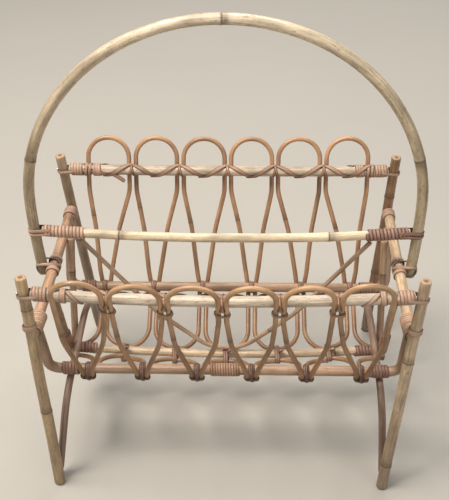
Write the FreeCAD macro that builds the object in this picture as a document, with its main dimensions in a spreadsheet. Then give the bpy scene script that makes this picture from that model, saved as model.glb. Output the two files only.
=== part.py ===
"""Free-standing magazine rack of bent cane: four splayed posts, a hoop handle and two woven pockets.

Millimetres, +Z up, X across the front, Y towards the back.  The origin is on the floor at the
middle of the four feet.  Nothing moves: every joint of the real rack is nailed and bound.
"""
import FreeCAD, Part
import math
import os

from FreeCAD import Vector

doc = FreeCAD.newDocument("MagazineRack")
sheet = doc.addObject("Spreadsheet::Sheet", "Sizes")

SIZES = {
    # Frame
    "post_span": 430,            # between the post axes at the top, across the front
    "foot_span": 403,            # the same at the floor
    "post_top_depth": 258,       # between the front and back post axes at the top
    "foot_depth": 295,           # the same at the floor
    "post_height": 302,
    "post_diameter": 13,
    "front_right_tuck": 9,       # how much further in this hand-bent foot stands
    "back_left_tuck": 13,
    "rail_height": 281,
    "rail_diameter": 13,
    "front_rail_sag": 8,
    "back_rail_sag": 2,
    "stretcher_height": 221,
    "stretcher_diameter": 13,
    # Hoop handle and crossbar
    "hoop_top": 539,             # axis of the hoop at its highest point
    "hoop_width": 455,           # between the axes of its two legs where it is widest
    "hoop_diameter": 13,
    "hoop_lap": 10,              # how far the legs reach below the stretchers' axes
    "crossbar_height": 274,
    "crossbar_sag": 9,
    "crossbar_diameter": 11,
    # Basket
    "lower_rail_depth": 162,     # between the front and back lower rails
    "lower_rail_height": 128,
    "lower_rail_span": 422,      # between its two corners
    "lower_rail_diameter": 12.5,
    "corner_radius": 14,
    "keel_length": 410,
    "keel_drop": 36,             # from the lower rails down to the ends of the keel
    "keel_sag": 11,
    "keel_diameter": 11,
    "hanger_inset": 6,           # from the end of the keel to the hangers
    "hanger_spread": 120,        # between the front and back hangers at the stretcher
    "hanger_diameter": 9,
    "brace_span": 344,           # between the ends of the divider brace under the crossbar
    "brace_diameter": 5.5,
    "arch_front_reach": 112,     # from the middle to the arch's sharper front corner
    "arch_back_reach": 85,       # from the middle to its rounder back corner
    "arch_foot_height": 12,      # where the arch is nailed to its two posts
    "arch_inset": 14,            # from the outermost foot in to the crown of the arch
    "arch_diameter": 9,
    # Woven loops
    "loop_pitch_top": 61.9,
    "loop_pitch_bottom": 65.5,
    "loop_pitch_keel": 66.3,
    "loop_width": 53.5,          # between the axes of a loop's two legs at the top rail
    "loop_rise": 40.5,           # top of the loop above the top rail's axis
    "loop_waist": 9,             # between its legs at the lower rail
    "loop_neck": 16,             # between its legs just above the lower rail
    "front_loop_belly": 46,      # between the legs of a front loop halfway down
    "back_loop_belly": 31,
    "core_diameter": 6,
    # Bindings and fixings
    "gap": 0.3,                  # kept between neighbouring canes
    "end_gap": 1.6,              # left where a straight-cut cane meets a leaning post
    "wrap_thickness": 1.5,
    "rail_wrap_length": 16,
    "stretcher_wrap_length": 20,
    "crossbar_wrap_length": 53,
    "keel_wrap_length": 30,
    "lower_rail_wrap_length": 23,
    "splice_wrap_length": 38,
    "cone_wrap_length": 34,
    "hanger_wrap_length": 46,
    "strap_width": 8,
    "tie_width": 7,
    "nail_diameter": 2.4,
    "nail_head_height": 1,
}
for row, (alias, number) in enumerate(SIZES.items(), start=1):
    sheet.set(f"A{row}", alias)
    sheet.set(f"B{row}", str(number))
    sheet.setAlias(f"B{row}", alias)
doc.recompute()

LOOPS = 6                        # loops in each panel
SIDES = {"left": -1, "right": 1}
FACES = {"front": -1, "back": 1}
X_AXIS = Vector(1, 0, 0)
Y_AXIS = Vector(0, 1, 0)
Z_AXIS = Vector(0, 0, 1)

nodes = []


def size(alias):
    """One driving dimension, read from the sheet."""
    return float(getattr(sheet, alias))


def radius(cane):
    """Radius of one kind of cane."""
    return size(cane + "_diameter") / 2


def touching(first, second):
    """Distance between the axes of two canes that lie against each other."""
    return radius(first) + radius(second) + size("gap")


def keep(piece, label):
    """Name a finished sub-part and put it on the list to be written."""
    piece.Label = label
    nodes.append(piece)
    return piece


# ---------------------------------------------------------------- geometry helpers
def unit(vector):
    """Copy of a vector with length one."""
    return Vector(vector).normalize()


def between(start, end, share):
    """Point a share of the way from start to end."""
    return start + (end - start) * share


def trimmed(start, end, cut):
    """The two ends of a straight run, each moved in by cut."""
    step = unit(end - start) * cut
    return start + step, end - step


def sagging(start, end, drop):
    """Arc from start to end whose middle hangs lower than its ends."""
    middle = between(start, end, 0.5) - Z_AXIS * drop
    return [Part.Arc(start, middle, end).toShape()]


def rounded(points, radii):
    """Straight runs through the points with every inner corner turned into a tangent arc."""
    edges = []
    here = points[0]
    for before, corner, after, bend in zip(points, points[1:], points[2:], radii):
        arriving = unit(corner - before)
        leaving = unit(after - corner)
        half_turn = arriving.getAngle(leaving) / 2
        reach = bend * math.tan(half_turn)
        arc_start = corner - arriving * reach
        arc_end = corner + leaving * reach
        inward = unit(leaving - arriving)
        arc_middle = corner + inward * (bend / math.cos(half_turn) - bend)
        if (arc_start - here).Length > 0.01:
            edges.append(Part.makeLine(here, arc_start))
        edges.append(Part.Arc(arc_start, arc_middle, arc_end).toShape())
        here = arc_end
    edges.append(Part.makeLine(here, points[-1]))
    return edges


def sweep_cane(label, edges, cane):
    """A cane of even thickness along a path of lines and arcs, its section bound to the sheet."""
    spine = doc.addObject("Part::Feature", label + "_path")
    spine.Shape = Part.Wire(edges)
    first = edges[0]
    section = doc.addObject("Part::Circle", label + "_section")
    section.setExpression("Radius", f"Sizes.{cane}_diameter / 2")
    direction = first.tangentAt(first.FirstParameter)
    turn = FreeCAD.Rotation(Z_AXIS, direction)
    section.Placement = FreeCAD.Placement(first.valueAt(first.FirstParameter), turn)
    sweep = doc.addObject("Part::Sweep", label + "_cane")
    sweep.Sections = [section]
    sweep.Spine = (spine, [f"Edge{number}" for number in range(1, len(edges) + 1)])
    sweep.Solid = True
    sweep.Frenet = False
    return keep(sweep, label)


def drum(name, radius_rule, length_rule, start, direction):
    """Round bar from start, its radius and length bound to the sheet."""
    bar = doc.addObject("Part::Cylinder", name)
    bar.setExpression("Radius", radius_rule)
    bar.setExpression("Height", length_rule)
    bar.Placement = FreeCAD.Placement(start, FreeCAD.Rotation(Z_AXIS, direction))
    return bar


def sleeve(name, cane, length_alias, start, direction):
    """A binding wound closely round a cane: a tube that starts at a point of the cane's axis."""
    bore_rule = f"Sizes.{cane}_diameter / 2 + Sizes.gap"
    length_rule = f"Sizes.{length_alias}"
    tube = doc.addObject("Part::Cut", name)
    tube.Base = drum(name + "_outside", bore_rule + " + Sizes.wrap_thickness", length_rule, start, direction)
    tube.Tool = drum(name + "_bore", bore_rule, length_rule, start, direction)
    return tube


def group(label, pieces):
    """Like pieces that share one node, each a solid of its own."""
    compound = doc.addObject("Part::Compound", label + "_group")
    compound.Links = pieces
    return keep(compound, label)


def oval_prism(centre, across, along, reach, half_thickness, width):
    """Bar with straight sides and round ends: its ends lie reach either side of centre."""
    up = along.cross(across)
    start = centre - along * (width / 2)
    left = start - across * reach
    right = start + across * reach
    rise = up * half_thickness
    outline = [
        Part.makeLine(left + rise, right + rise),
        Part.Arc(right + rise, right + across * half_thickness, right - rise).toShape(),
        Part.makeLine(right - rise, left - rise),
        Part.Arc(left - rise, left - across * half_thickness, left + rise).toShape(),
    ]
    return Part.Face(Part.Wire(outline)).extrude(along * width)


def oval_band(name, centre, across, along, reach, bore_radius, width):
    """Strap round two parallel canes whose axes run along and lie reach either side of centre."""
    across = unit(across)
    along = unit(along)
    inner = bore_radius + 2 * size("gap")
    outside = oval_prism(centre, across, along, reach, inner + size("wrap_thickness"), width)
    inside = oval_prism(centre, across, along, reach, inner, width)
    band = doc.addObject("Part::Feature", name)
    band.Shape = outside.cut(inside)
    return band


# ---------------------------------------------------------------- posts
TUCKS = {("front", "right"): "front_right_tuck", ("back", "left"): "back_left_tuck"}


def foot_point(face, side):
    """Axis of one post at the floor."""
    tuck = size(TUCKS[face, side]) if (face, side) in TUCKS else 0
    return Vector(SIDES[side] * (size("foot_span") / 2 - tuck), FACES[face] * size("foot_depth") / 2, 0)


def post_point(face, side, height):
    """Axis of one post at a height."""
    top = Vector(
        SIDES[side] * size("post_span") / 2,
        FACES[face] * size("post_top_depth") / 2,
        size("post_height"),
    )
    return between(foot_point(face, side), top, height / size("post_height"))


def make_post(face, side):
    """One leaning post, cut level at the foot and at the top."""
    label = f"post_{face}_{side}"
    tuck = f" - Sizes.{TUCKS[face, side]}" if (face, side) in TUCKS else ""
    ends = {
        "foot": (f"Sizes.foot_span / 2{tuck}", "Sizes.foot_depth / 2", "0"),
        "top": ("Sizes.post_span / 2", "Sizes.post_top_depth / 2", "Sizes.post_height"),
    }
    circles = []
    for end, (across, deep, high) in ends.items():
        circle = doc.addObject("Part::Circle", f"{label}_{end}")
        circle.setExpression("Radius", "Sizes.post_diameter / 2")
        circle.setExpression("Placement.Base.x", f"{SIDES[side]} * ({across})")
        circle.setExpression("Placement.Base.y", f"{FACES[face]} * ({deep})")
        circle.setExpression("Placement.Base.z", high)
        circles.append(circle)
    post = doc.addObject("Part::Loft", label + "_cane")
    post.Sections = circles
    post.Solid = True
    post.Ruled = True
    keep(post, label)


for face in FACES:
    for side in SIDES:
        make_post(face, side)


# ---------------------------------------------------------------- top rails and stretchers
def top_rail_ends(face):
    """Ends of a top rail, cut to fit between its two posts."""
    left = post_point(face, "left", size("rail_height"))
    right = post_point(face, "right", size("rail_height"))
    return trimmed(left, right, radius("post") + size("end_gap"))


def top_rail_point(face, x):
    """Axis of a sagging top rail at a place along it."""
    left, right = top_rail_ends(face)
    share = (x - left.x) / (right.x - left.x)
    drop = size(face + "_rail_sag") * 4 * share * (1 - share)
    return between(left, right, share) - Z_AXIS * drop


def stretcher_ends(side):
    """Ends of an end stretcher, cut to fit between its front and back post."""
    front = post_point("front", side, size("stretcher_height"))
    back = post_point("back", side, size("stretcher_height"))
    return trimmed(front, back, radius("post") + size("end_gap"))


def stretcher_point(side, y):
    """Axis of an end stretcher at a place along it."""
    front, back = stretcher_ends(side)
    return between(front, back, (y - front.y) / (back.y - front.y))


for face in FACES:
    rail_left, rail_right = top_rail_ends(face)
    sweep_cane(f"top_rail_{face}", sagging(rail_left, rail_right, size(face + "_rail_sag")), "rail")
for side in SIDES:
    stretcher_front, stretcher_back = stretcher_ends(side)
    sweep_cane(f"stretcher_{side}", [Part.makeLine(stretcher_front, stretcher_back)], "stretcher")


# ---------------------------------------------------------------- hoop handle
def hoop_foot(side):
    """Lower end of a hoop leg, lapped on the outer face of the stretcher."""
    outward = X_AXIS * (SIDES[side] * touching("stretcher", "hoop"))
    return stretcher_point(side, 0) + outward - Z_AXIS * size("hoop_lap")


def hoop_leg_point(side, height):
    """Axis of a straight hoop leg at a height."""
    foot = hoop_foot(side)
    spring = Vector(SIDES[side] * size("hoop_width") / 2, 0, size("hoop_top") - size("hoop_width") / 2)
    return between(foot, spring, (height - foot.z) / (spring.z - foot.z))


def hoop_edges():
    """Path of the hoop: two legs that bend into a half circle."""
    half_width = size("hoop_width") / 2
    spring_height = size("hoop_top") - half_width
    left_spring = Vector(-half_width, 0, spring_height)
    right_spring = Vector(half_width, 0, spring_height)
    top = Vector(0, 0, size("hoop_top"))
    bend = []
    for side, spring in (("left", left_spring), ("right", right_spring)):
        lean = abs(spring.x - hoop_foot(side).x)
        rise = spring.z - hoop_foot(side).z
        bend_radius = (lean * lean + rise * rise) / (2 * lean)
        middle_angle = math.asin(rise / bend_radius) / 2
        middle = spring + Vector(
            -SIDES[side] * bend_radius * (1 - math.cos(middle_angle)),
            0,
            -bend_radius * math.sin(middle_angle),
        )
        bend.append(middle)
    return [
        Part.Arc(hoop_foot("left"), bend[0], left_spring).toShape(),
        Part.Arc(left_spring, top, right_spring).toShape(),
        Part.Arc(right_spring, bend[1], hoop_foot("right")).toShape(),
    ]


sweep_cane("hoop", hoop_edges(), "hoop")


# ---------------------------------------------------------------- crossbar
def crossbar_ends():
    """Ends of the crossbar, cut to fit between the hoop's legs."""
    left = hoop_leg_point("left", size("crossbar_height"))
    right = hoop_leg_point("right", size("crossbar_height"))
    return trimmed(left, right, radius("hoop") + size("end_gap"))


crossbar_left, crossbar_right = crossbar_ends()


def sagging_height(x, half_length, end_height, sag):
    """Height of the axis of a cane that hangs lower in its middle."""
    return end_height - sag * (1 - (x / half_length) ** 2)


sweep_cane("crossbar", sagging(crossbar_left, crossbar_right, size("crossbar_sag")), "crossbar")


# ---------------------------------------------------------------- basket frame
def keel_point(x):
    """Axis of the keel rail at a place along it."""
    end_height = size("lower_rail_height") - size("keel_drop")
    return Vector(x, 0, sagging_height(x, size("keel_length") / 2, end_height, size("keel_sag")))


keel_left = keel_point(-size("keel_length") / 2)
keel_right = keel_point(size("keel_length") / 2)
keel_edges = sagging(keel_left, keel_right, size("keel_sag"))
sweep_cane("keel_rail", keel_edges, "keel")


def panel_slope(face):
    """How far a panel leans outward for each millimetre that it rises."""
    rail = top_rail_point(face, 0)
    return (abs(rail.y) - size("lower_rail_depth") / 2) / (rail.z - size("lower_rail_height"))


def lower_rail_points(face):
    """Corner points of a lower rail, whose ends rise to the undersides of the stretchers."""
    deep = size("lower_rail_depth") / 2
    low = size("lower_rail_height")
    lean = math.atan(panel_slope(face))
    wrapped = radius("stretcher") + 2 * size("gap") + 2 * size("wrap_thickness")
    high = size("stretcher_height") - wrapped - radius("lower_rail") * math.sin(2 * lean)
    top_y = FACES[face] * (deep + (high - low) * math.tan(lean))
    corner_x = size("lower_rail_span") / 2
    left_top = Vector(stretcher_point("left", top_y).x, top_y, high)
    right_top = Vector(stretcher_point("right", top_y).x, top_y, high)
    left_corner = Vector(-corner_x, FACES[face] * deep, low)
    right_corner = Vector(corner_x, FACES[face] * deep, low)
    return [left_top, left_corner, right_corner, right_top]


for face in FACES:
    lower_edges = rounded(lower_rail_points(face), [size("corner_radius")] * 2)
    sweep_cane(f"lower_rail_{face}", lower_edges, "lower_rail")


def hanger_ends(face, side):
    """Ends of a keel hanger: beside the keel, and on the inner face of the stretcher."""
    top_y = FACES[face] * size("hanger_spread") / 2
    inward = -X_AXIS * (SIDES[side] * touching("stretcher", "hanger"))
    top = stretcher_point(side, top_y) + inward
    keel_x = SIDES[side] * (size("keel_length") / 2 - size("hanger_inset"))
    keel = keel_point(keel_x)
    lean = math.atan2(abs(top_y), top.z - keel.z)
    beside = FACES[face] * (touching("keel", "hanger") + size("gap")) / math.cos(lean)
    bottom = Vector(keel_x, beside, keel.z)
    past_keel = unit(bottom - top) * radius("keel")
    return top, bottom + past_keel


for face in FACES:
    for side in SIDES:
        hanger_top, hanger_bottom = hanger_ends(face, side)
        sweep_cane(f"keel_hanger_{face}_{side}", [Part.makeLine(hanger_top, hanger_bottom)], "hanger")


# ---------------------------------------------------------------- divider brace
KNEE_SHARE = 0.5                 # how far out the brace's knee is, as a share of its half length
KNEE_RISE = 0.34                 # and how far up, as a share of its rise
SEAT_SHARE = 0.125               # half length of the part that lies on the keel
KNEE_BEND = 1.1                  # bends of its knee and seat, as shares of its half length
SEAT_BEND = 0.25


def brace_points():
    """Corner points of the brace: from under the crossbar down over the keel and up again."""
    end_x = size("brace_span") / 2
    crossbar_z = sagging_height(end_x, crossbar_right.x, size("crossbar_height"), size("crossbar_sag"))
    end_z = crossbar_z - radius("crossbar") - radius("brace") - size("wrap_thickness") - 2 * size("gap")
    seat_x = end_x * SEAT_SHARE
    seat_z = keel_point(seat_x).z + touching("keel", "brace") + size("wrap_thickness") + 4 * size("gap")
    knee_x = end_x * KNEE_SHARE
    knee_z = seat_z + KNEE_RISE * (end_z - seat_z)
    left = [Vector(-end_x, 0, end_z), Vector(-knee_x, 0, knee_z), Vector(-seat_x, 0, seat_z)]
    right = [Vector(-point.x, 0, point.z) for point in reversed(left)]
    return left + right


brace_bends = [KNEE_BEND * size("brace_span") / 2, SEAT_BEND * size("brace_span") / 2]
sweep_cane("divider_brace", rounded(brace_points(), brace_bends + brace_bends[::-1]), "brace")


# ---------------------------------------------------------------- leg arches
FRONT_BEND_SHARE = 0.4           # bend of each corner, as a share of its reach
BACK_BEND_SHARE = 1.05


def arch_points(side):
    """Corner points of the arch that stands on a front and a back foot, under the basket."""
    front = post_point("front", side, size("arch_foot_height")) + Y_AXIS * touching("post", "arch")
    back = post_point("back", side, size("arch_foot_height")) - Y_AXIS * touching("post", "arch")
    crown_x = SIDES[side] * (size("foot_span") / 2 - size("arch_inset"))
    below = radius("lower_rail") + radius("arch") + size("wrap_thickness") + 3 * size("gap")
    crown_z = size("lower_rail_height") - below
    front_corner = Vector(crown_x, -size("arch_front_reach"), crown_z)
    back_corner = Vector(crown_x, size("arch_back_reach"), crown_z)
    return [front, front_corner, back_corner, back]


for side in SIDES:
    arch_bends = [FRONT_BEND_SHARE * size("arch_front_reach"), BACK_BEND_SHARE * size("arch_back_reach")]
    sweep_cane(f"leg_arch_{side}", rounded(arch_points(side), arch_bends), "arch")


# ---------------------------------------------------------------- woven loops
class LoopFrame:
    """Where one loop lies: down the outside of its panel, under the lower rail and in to the keel."""

    def __init__(self, face, number):
        place = number - (LOOPS - 1) / 2
        outward = FACES[face]
        self.top_x = place * size("loop_pitch_top")
        self.waist_x = place * size("loop_pitch_bottom")
        self.keel_x = place * size("loop_pitch_keel")
        rail = top_rail_point(face, self.top_x)
        keel = keel_point(self.keel_x)
        lower = Vector(0, outward * size("lower_rail_depth") / 2, size("lower_rail_height"))
        self.up = unit(Vector(0, rail.y - lower.y, rail.z - lower.z))
        self.panel_out = Vector(0, outward * self.up.z, -outward * self.up.y)
        self.rail = Vector(0, rail.y, rail.z) + self.panel_out * (touching("rail", "core") + size("gap"))
        self.turn_high = lower + self.panel_out * touching("lower_rail", "core")
        beside_wrap = touching("keel", "core") + size("wrap_thickness") + size("gap")
        beside_keel = Vector(0, outward * beside_wrap, keel.z - radius("core"))
        across = unit(beside_keel - lower)
        floor_out = Vector(0, outward * across.z, -outward * across.y)
        if floor_out.z > 0:
            floor_out = -floor_out
        self.turn_low = lower + floor_out * touching("lower_rail", "core")
        self.apex = beside_keel
        self.inward = unit(self.apex - self.turn_low)
        along = self.turn_low - self.turn_high
        denominator = self.up.y * self.inward.z - self.up.z * self.inward.y
        corner_share = (along.y * self.inward.z - along.z * self.inward.y) / denominator
        self.corner = self.turn_high + self.up * corner_share
        self.up = unit(self.rail - self.corner)


SHOULDER_SHARE = 0.18            # how far down the panel a loop's shoulder, belly and neck are
BELLY_SHARE = 0.5
NECK_SHARE = 0.86
SHOULDER_BEND = 0.30             # their bends, as shares of the panel's length
BELLY_BEND = 0.72
NECK_BEND = 0.30
SNUG = 0.98                      # share of the room that a tight bend takes up


def strand_end_x(number, direction):
    """Where a loop's strand ends beside the keel: halfway to its neighbour, or short of a hanger."""
    place = number - (LOOPS - 1) / 2 + direction / 2
    hanger_x = size("keel_length") / 2 - size("hanger_inset")
    limit = hanger_x - radius("hanger") - 3 * size("gap")
    return max(-limit, min(limit, place * size("loop_pitch_keel")))


def half_loop(face, number, direction):
    """Corner points and bends of one half of a loop, from the middle of its top down to the keel."""
    lie = LoopFrame(face, number)
    crown = lie.rail + lie.up * size("loop_rise")
    panel = (lie.rail - lie.corner).Length
    top_half = size("loop_width") / 2
    leg_x = lie.waist_x + direction * size("loop_waist") / 2
    side_x = lie.top_x + direction * top_half
    belly_x = (lie.top_x + lie.waist_x) / 2 + direction * size(face + "_loop_belly") / 2
    neck_x = lie.waist_x + direction * size("loop_neck") / 2
    end_x = strand_end_x(number, direction) - direction * size("gap")

    def at(x, point):
        return Vector(x, point.y, point.z)

    points = [
        at(lie.top_x, crown),
        at(side_x, crown),
        at(side_x, lie.rail - lie.up * (SHOULDER_SHARE * panel)),
        at(belly_x, lie.rail - lie.up * (BELLY_SHARE * panel)),
        at(neck_x, lie.rail - lie.up * (NECK_SHARE * panel)),
        at(leg_x, lie.corner),
        at(leg_x, lie.apex),
        at(end_x, lie.apex),
    ]
    bends = [
        top_half * SNUG,
        SHOULDER_BEND * panel,
        BELLY_BEND * panel,
        NECK_BEND * panel,
        touching("lower_rail", "core"),
        SNUG * abs(end_x - leg_x),
    ]
    return points, bends


def loop_points(face, number):
    """Corner points and bends of a whole loop, from one end beside the keel, up and over to the other."""
    left, left_bends = half_loop(face, number, -1)
    right, right_bends = half_loop(face, number, 1)
    return left[:0:-1] + right[1:], left_bends[::-1] + right_bends


for face in FACES:
    for number in range(LOOPS):
        corners, corner_bends = loop_points(face, number)
        sweep_cane(f"{face}_loop_{number + 1}", rounded(corners, corner_bends), "core")


# ---------------------------------------------------------------- bindings wound round one cane
def chord_sleeve(name, cane, length_alias, start, towards):
    """A binding that starts at a point of a slightly curved cane and runs towards another."""
    return sleeve(name, cane, length_alias, start, unit(towards - start))


rail_wraps = []
for face in FACES:
    for side in SIDES:
        rail_end = top_rail_ends(face)[0 if side == "left" else 1]
        inner_x = rail_end.x - SIDES[side] * size("rail_wrap_length")
        wrap_name = f"rail_wrap_{face}_{side}"
        rail_wraps.append(
            chord_sleeve(wrap_name, "rail", "rail_wrap_length", rail_end, top_rail_point(face, inner_x))
        )
group("top_rail_end_wraps", rail_wraps)

crossbar_arc = sagging(crossbar_left, crossbar_right, size("crossbar_sag"))[0]
for side, crossbar_end in (("left", crossbar_left), ("right", crossbar_right)):
    share = size("crossbar_wrap_length") / crossbar_arc.Length
    if side == "right":
        share = 1 - share
    inner_point = crossbar_arc.valueAt(crossbar_arc.getParameterByLength(share * crossbar_arc.Length))
    wrap_name = f"crossbar_wrap_{side}"
    crossbar_wrap = chord_sleeve(
        wrap_name + "_tube", "crossbar", "crossbar_wrap_length", crossbar_end, inner_point
    )
    keep(crossbar_wrap, wrap_name)

keel_wraps = []
for side in SIDES:
    outer_x = size("keel_length") / 2 - size("hanger_inset") - radius("hanger") - 3 * size("gap")
    wrap_start = keel_point(SIDES[side] * outer_x)
    wrap_end = keel_point(SIDES[side] * (outer_x - size("keel_wrap_length")))
    keel_wraps.append(chord_sleeve(f"keel_wrap_{side}", "keel", "keel_wrap_length", wrap_start, wrap_end))
group("keel_end_wraps", keel_wraps)

lower_wraps = []
for face in FACES:
    for side in SIDES:
        straight_end = size("lower_rail_span") / 2 - size("corner_radius")
        lower_y = FACES[face] * size("lower_rail_depth") / 2
        lower_start = Vector(SIDES[side] * straight_end, lower_y, size("lower_rail_height"))
        wrap_name = f"lower_wrap_{face}_{side}"
        inward = -X_AXIS * SIDES[side]
        lower_wraps.append(sleeve(wrap_name, "lower_rail", "lower_rail_wrap_length", lower_start, inward))
group("lower_rail_end_wraps", lower_wraps)

splice_start = Vector(
    -size("splice_wrap_length") / 2, -size("lower_rail_depth") / 2, size("lower_rail_height")
)
keep(
    sleeve("splice_wrap_tube", "lower_rail", "splice_wrap_length", splice_start, X_AXIS),
    "lower_rail_splice_wrap",
)


def cone_wrap(side):
    """Tapered binding over the front end of a stretcher, thicker away from the post."""
    front, back = stretcher_ends(side)
    bore_rule = "Sizes.stretcher_diameter / 2 + Sizes.gap"
    direction = unit(back - front)
    cone = doc.addObject("Part::Cone", f"cone_wrap_{side}_outside")
    cone.setExpression("Radius1", bore_rule + " + Sizes.wrap_thickness / 2")
    cone.setExpression("Radius2", bore_rule + " + Sizes.wrap_thickness * 2")
    cone.setExpression("Height", "Sizes.cone_wrap_length")
    cone.Placement = FreeCAD.Placement(front, FreeCAD.Rotation(Z_AXIS, direction))
    tube = doc.addObject("Part::Cut", f"cone_wrap_{side}")
    tube.Base = cone
    tube.Tool = drum(f"cone_wrap_{side}_bore", bore_rule, "Sizes.cone_wrap_length", front, direction)
    return tube


group("stretcher_cone_wraps", [cone_wrap(side) for side in SIDES])

back_wraps = []
for side in SIDES:
    stretcher_front, stretcher_back = stretcher_ends(side)
    forward = unit(stretcher_front - stretcher_back)
    wrap_name = f"stretcher_wrap_{side}"
    back_wraps.append(sleeve(wrap_name, "stretcher", "stretcher_wrap_length", stretcher_back, forward))
group("stretcher_back_wraps", back_wraps)

hoop_straps = []
for side in SIDES:
    for face in FACES:
        strap_y = FACES[face] * (radius("hoop") + 2 * size("gap"))
        strap_start = stretcher_point(side, strap_y)
        beyond = stretcher_point(side, 2 * strap_y)
        strap_name = f"hoop_strap_{face}_{side}"
        hoop_straps.append(chord_sleeve(strap_name, "stretcher", "strap_width", strap_start, beyond))
group("hoop_straps", hoop_straps)

post_straps = []
for face in FACES:
    for side in SIDES:
        top_height = size("rail_height") - radius("rail") - 2 * size("wrap_thickness")
        strap_heights = [top_height]
        if face == "front":
            over_stretcher = size("stretcher_height") + radius("stretcher") + 3 * size("wrap_thickness")
            strap_heights.append(over_stretcher + size("strap_width"))
        for count, strap_height in enumerate(strap_heights, start=1):
            strap_start = post_point(face, side, strap_height)
            strap_name = f"post_strap_{face}_{side}_{count}"
            foot = foot_point(face, side)
            post_straps.append(chord_sleeve(strap_name, "post", "strap_width", strap_start, foot))
group("post_straps", post_straps)

hanger_wraps = []
for side in SIDES:
    hanger_top, hanger_bottom = hanger_ends("front", side)
    above_keel = 2 * radius("keel") + 4 * size("wrap_thickness")
    wrap_start = hanger_bottom + unit(hanger_top - hanger_bottom) * above_keel
    hanger_wraps.append(
        chord_sleeve(f"hanger_wrap_{side}", "hanger", "hanger_wrap_length", wrap_start, hanger_top)
    )
group("hanger_wraps", hanger_wraps)


# ---------------------------------------------------------------- ties and lacing of the loops
def junction_ties(face):
    """Bands round the neighbouring legs of two loops, just below the top rail."""
    ties = []
    reach = (size("loop_pitch_top") - size("loop_width")) / 2
    below = radius("rail") + size("tie_width") / 2
    for number in range(LOOPS - 1):
        lie = LoopFrame(face, number)
        after = LoopFrame(face, number + 1)
        middle = between(lie.rail, after.rail, 0.5) - lie.up * below
        centre = Vector((lie.top_x + after.top_x) / 2, middle.y, middle.z)
        name = f"{face}_junction_{number + 1}"
        ties.append(oval_band(name, centre, X_AXIS, lie.up, reach, radius("core"), size("tie_width")))
    return ties


def waist_ties(face):
    """Bands round the two legs of each loop, just above the lower rail."""
    ties = []
    above = touching("lower_rail", "core") + size("tie_width") / 2
    for number in range(LOOPS):
        lie = LoopFrame(face, number)
        middle = lie.corner + lie.up * above
        centre = Vector(lie.waist_x, middle.y, middle.z)
        name = f"{face}_waist_{number + 1}"
        opened = above / ((1 - NECK_SHARE) * (lie.rail - lie.corner).Length)
        reach = (size("loop_waist") + opened * (size("loop_neck") - size("loop_waist"))) / 2
        ties.append(oval_band(name, centre, X_AXIS, lie.up, reach, radius("core"), size("tie_width")))
    return ties


for face in FACES:
    group(f"{face}_junction_ties", junction_ties(face))
    group(f"{face}_waist_ties", waist_ties(face))
    lacing = []
    for number in range(LOOPS):
        lace_x = LoopFrame(face, number).top_x - size("strap_width") / 2
        lace_start = top_rail_point(face, lace_x)
        lace_end = top_rail_point(face, lace_x + size("strap_width"))
        lacing.append(chord_sleeve(f"{face}_lace_{number + 1}", "rail", "strap_width", lace_start, lace_end))
    group(f"top_rail_lacing_{face}", lacing)

keel_ties = []
for number in range(1, LOOPS):
    tie_x = (number - LOOPS / 2) * size("loop_pitch_keel") - size("tie_width") / 2
    tie_end = keel_point(tie_x + size("tie_width"))
    keel_ties.append(chord_sleeve(f"keel_tie_{number}", "keel", "tie_width", keel_point(tie_x), tie_end))
group("keel_ties", keel_ties)


# ---------------------------------------------------------------- nails
def nail_head(name, surface, outward):
    """Head of a nail that stands on a cane's surface."""
    return drum(name, "Sizes.nail_diameter / 2", "Sizes.nail_head_height", surface, outward)


nails = []
for face in FACES:
    for side in SIDES:
        outward = X_AXIS * SIDES[side]
        post_axis = post_point(face, side, size("rail_height"))
        post_surface = post_axis + outward * (radius("post") + size("gap"))
        nails.append(nail_head(f"rail_nail_{face}_{side}", post_surface, outward))
        foot, corner = arch_points(side)[:2] if face == "front" else arch_points(side)[:1:-1]
        along = unit(corner - foot)
        away = -Y_AXIS * FACES[face]
        away = unit(away - along * away.dot(along))
        arch_surface = foot + along * 2 * radius("arch") + away * (radius("arch") + size("gap"))
        nails.append(nail_head(f"arch_nail_{face}_{side}", arch_surface, away))
waist_nail_x = LoopFrame("front", LOOPS - 1).waist_x
waist_out = LoopFrame("front", LOOPS - 1).panel_out
waist_axis = Vector(waist_nail_x, -size("lower_rail_depth") / 2, size("lower_rail_height"))
waist_nail = drum(
    "waist_nail",
    "Sizes.nail_diameter / 2",
    "Sizes.core_diameter + Sizes.nail_head_height",
    waist_axis + waist_out * (radius("lower_rail") + size("gap")),
    waist_out,
)
nails.append(waist_nail)
group("nails", nails)

doc.recompute()
for piece in nodes:
    problem = [state for state in piece.State if state in ("Invalid", "Error")]
    if problem or piece.Shape.isNull() or not piece.Shape.isValid():
        raise RuntimeError(f"{piece.Label} failed: {problem}")
    print(piece.Label, round(piece.Shape.Volume))

os.makedirs("parts", exist_ok=True)
for piece in nodes:
    piece.Shape.exportStep(f"parts/{piece.Label}.step")
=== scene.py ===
"""Looks of a bent-cane magazine rack, laid over its measured frame and laid out as an add-on.

Metres, +Z up, X across the front, Y towards the back.  Every cane follows the frame's own boxes,
and every binding is a real strip of peeled cane that is wound, crossed or looped round its canes.
"""
import math

import bpy
from bpy.props import FloatProperty, FloatVectorProperty, IntProperty, PointerProperty
from mathutils import Matrix, Vector, noise


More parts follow.
